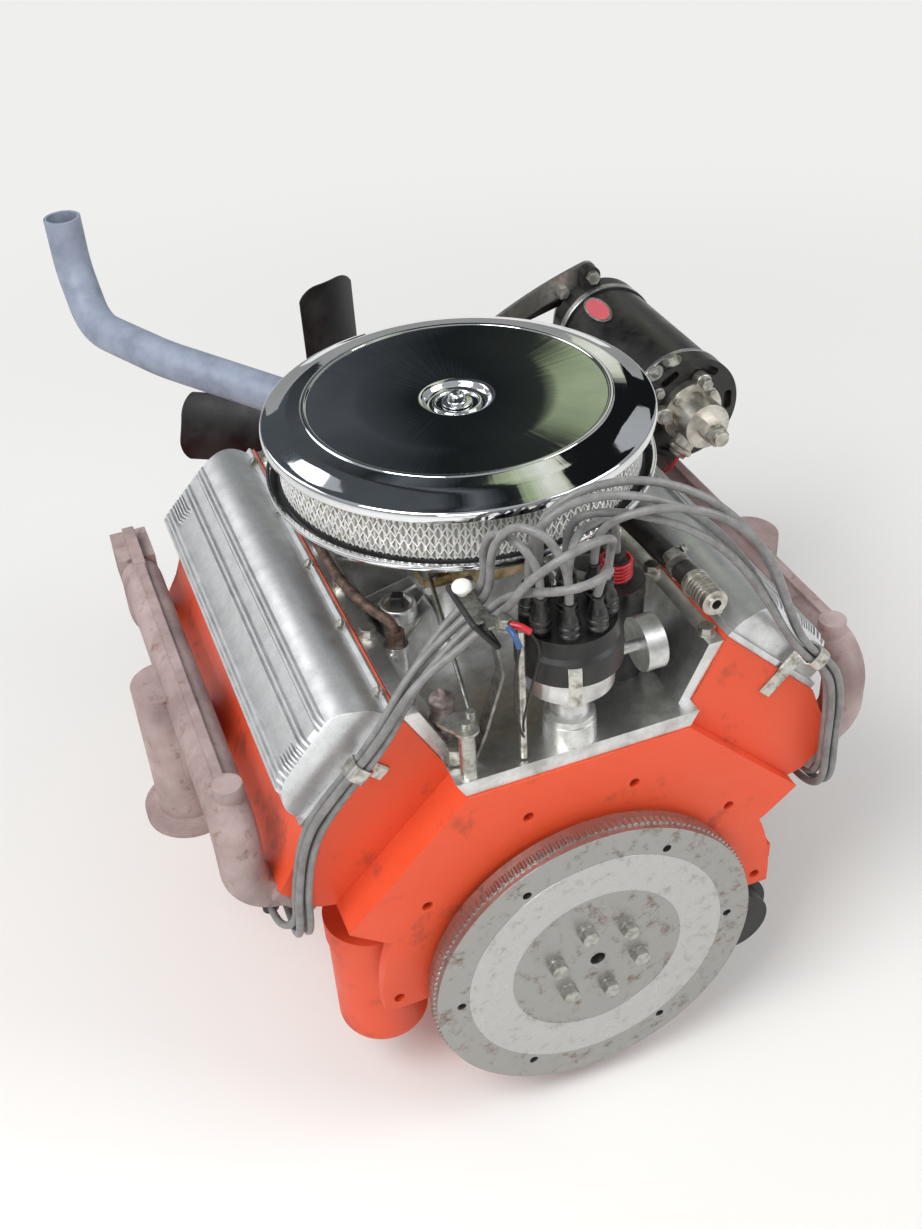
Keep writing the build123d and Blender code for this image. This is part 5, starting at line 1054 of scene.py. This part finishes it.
def oval_plate(name, sizes, depths, material, along=False):
    """Rings of an ellipse of 60 by 24 mm, scaled by sizes, bent round the rotor and sunk by
    depths in mm: at angle a of its rim a point turns by 12 mm sin a round the frame from 62
    degrees, and lies 30 mm cos a along it."""
    size = np.array(sizes)[:, None]
    turn = np.radians(62) - size * 0.0120 * np.sin(oval_turn) / body_radius
    radius = body_radius - np.array(depths)[:, None] / 1000
    along_y = frame_front + 0.060 + size * 0.0300 * np.cos(oval_turn)
    grid = np.stack([rotor_x + radius * np.cos(turn), along_y, rotor_z + radius * np.sin(turn)], axis=-1)
    lofted(name, grid, material, along=along, smooth=40)


oval_plate("blank_oval", [1e-3, 0.82, 0.88, 0.88], [1.1, 1.1, 1.4, 3.0], red_enamel)
oval_plate("blank_oval_rim", [0.80, 0.86, 1.0, 1.0], [1.6, 0.9, 1.2, 3.0], zinc_steel, along=True)
post_angles = [52, 74]
post_places = round_places((rotor_x, frame_rear - 0.010, rotor_z), post_angles, body_radius - 0.0006)
post_ways = round_places((0, 0, 0), post_angles, 1)
hexagon_heads("terminal_posts", post_places, post_ways, across=9.5, tall=7.5, washer=10)

# The counter's drive: cover bolts, a plugged side boss, a hexagon nut on its rear end, a
# short red wire, and two ears with their bolts.
drive_low, drive_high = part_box("tach_drive")
drive_x = (drive_low.x + drive_high.x) / 2
drive_z = (drive_low.z + drive_high.z) / 2
drive_places = round_places((drive_x, drive_low.y + 0.010, drive_z), [45, 135, 225, 315], 0.0285)
hexagon_heads("drive_bolts", drive_places, (0, 1, 0), across=8.5, tall=5.8, washer=5.8)
side_profile = rounded(
    [(11.0, 12.0), (11.0, 33.0), (13.2, 34.0), (13.2, 39.0), (10.0, 40.0), (9.6, 44.0), (0.01, 45.0)], 1.2, 4
)
side_foot = (drive_x, drive_low.y + 0.026, drive_z)
side_grid = turned(side_profile, side_foot, (0.62, 0, -0.78), 40, (0.78, 0, 0.62))
lofted("drive_side_boss", side_grid, drive_casting, smooth=50)
end_place = (drive_x, drive_high.y - 0.0135, drive_z)
hexagon_heads("cable_nut", [end_place], (0, 1, 0), across=20, tall=8.5, washer=11)
red_route = [(20, 30, -22), (34, 34, -40), (46, 22, -58), (48, 2, -70)]
tube("short_red_wire", (drive_x, drive_low.y, drive_z), red_route, 1.8, red_pvc, steps=10)
ear_long = 13.5
ear_profile = rounded([(0.01, 1.0), (8.8, 1.0), (8.8, ear_long), (0.01, ear_long)], 1.2, 4)
ear_places = np.array([(0.0355, 0, 0.006), (-0.010, 0, 0.0355)]) + (drive_x, drive_low.y, drive_z)
ear_grids = [turned(ear_profile, place, (0, 1, 0), 40) for place in ear_places]
lofted("drive_ears", ear_grids, drive_casting, smooth=50)
ear_ends = ear_places + [0, ear_long / 1000, 0]
hexagon_heads("drive_ear_bolts", ear_ends, (0, 1, 0), across=11.5, tall=7.5, washer=7.8)


# Steel pipe, throttle, heater hose and everything low down
# Brown rusted steel pipe; plated linkage; black hose on a ribbed fitting; and below them the
# starter, the fuel pump and the rubber mounts.
rusty_steel = finish(
    "brown_rusted_steel_pipe", [(0.34, "2f2520"), (0.52, "5a463b"), (0.70, "7f6d60")], (0.75, 0.5),
    (9, 6.0, 0.7), [((0.9, 3.0, 0.55), 0.10)], edge=0.4, Metallic=0.25,
)
dress(rusty_steel, "vacuum_pipe")
dress(zinc_steel, "throttle_linkage")
dress(drive_casting, "heater_fitting", "fuel_pump")
dress(black_enamel("black_enamel_on_starter", "33312e", "101010", 0.36), "starter")
dress(black_rubber("black_rubber_mounts", "34322f", "111111", 0.6), "engine_mount_left", "engine_mount_right")
hose_wide = 0.021
heater_route = np.array([
    (-96, -476, 268.4), (-96, -476, 310.4), (-118, -444, 317.4), (-130, -400, 315.4), (-133, -345, 313.4),
    (-134, -285, 315.4), (-136, -225, 314.4), (-138, -165, 315.4), (-141, -110, 316.4), (-141, -72, 318.4),
]) / 1000
heater_rubber = black_rubber("black_coolant_hose_rubber", "3a3836", "151516", 0.42)
heater_hose = cord_curve(
    "heater_hose_rubber", heater_route, hose_wide / 2, heater_rubber, "heater_hose"
)
clamp_place = (-0.141, -0.098, 0.3171)
band_clamp("heater_hose_clamp", clamp_place, (0, 1, 0.03), hose_radius=10.5, wide=9.0, start=(0.4, 0, 1))
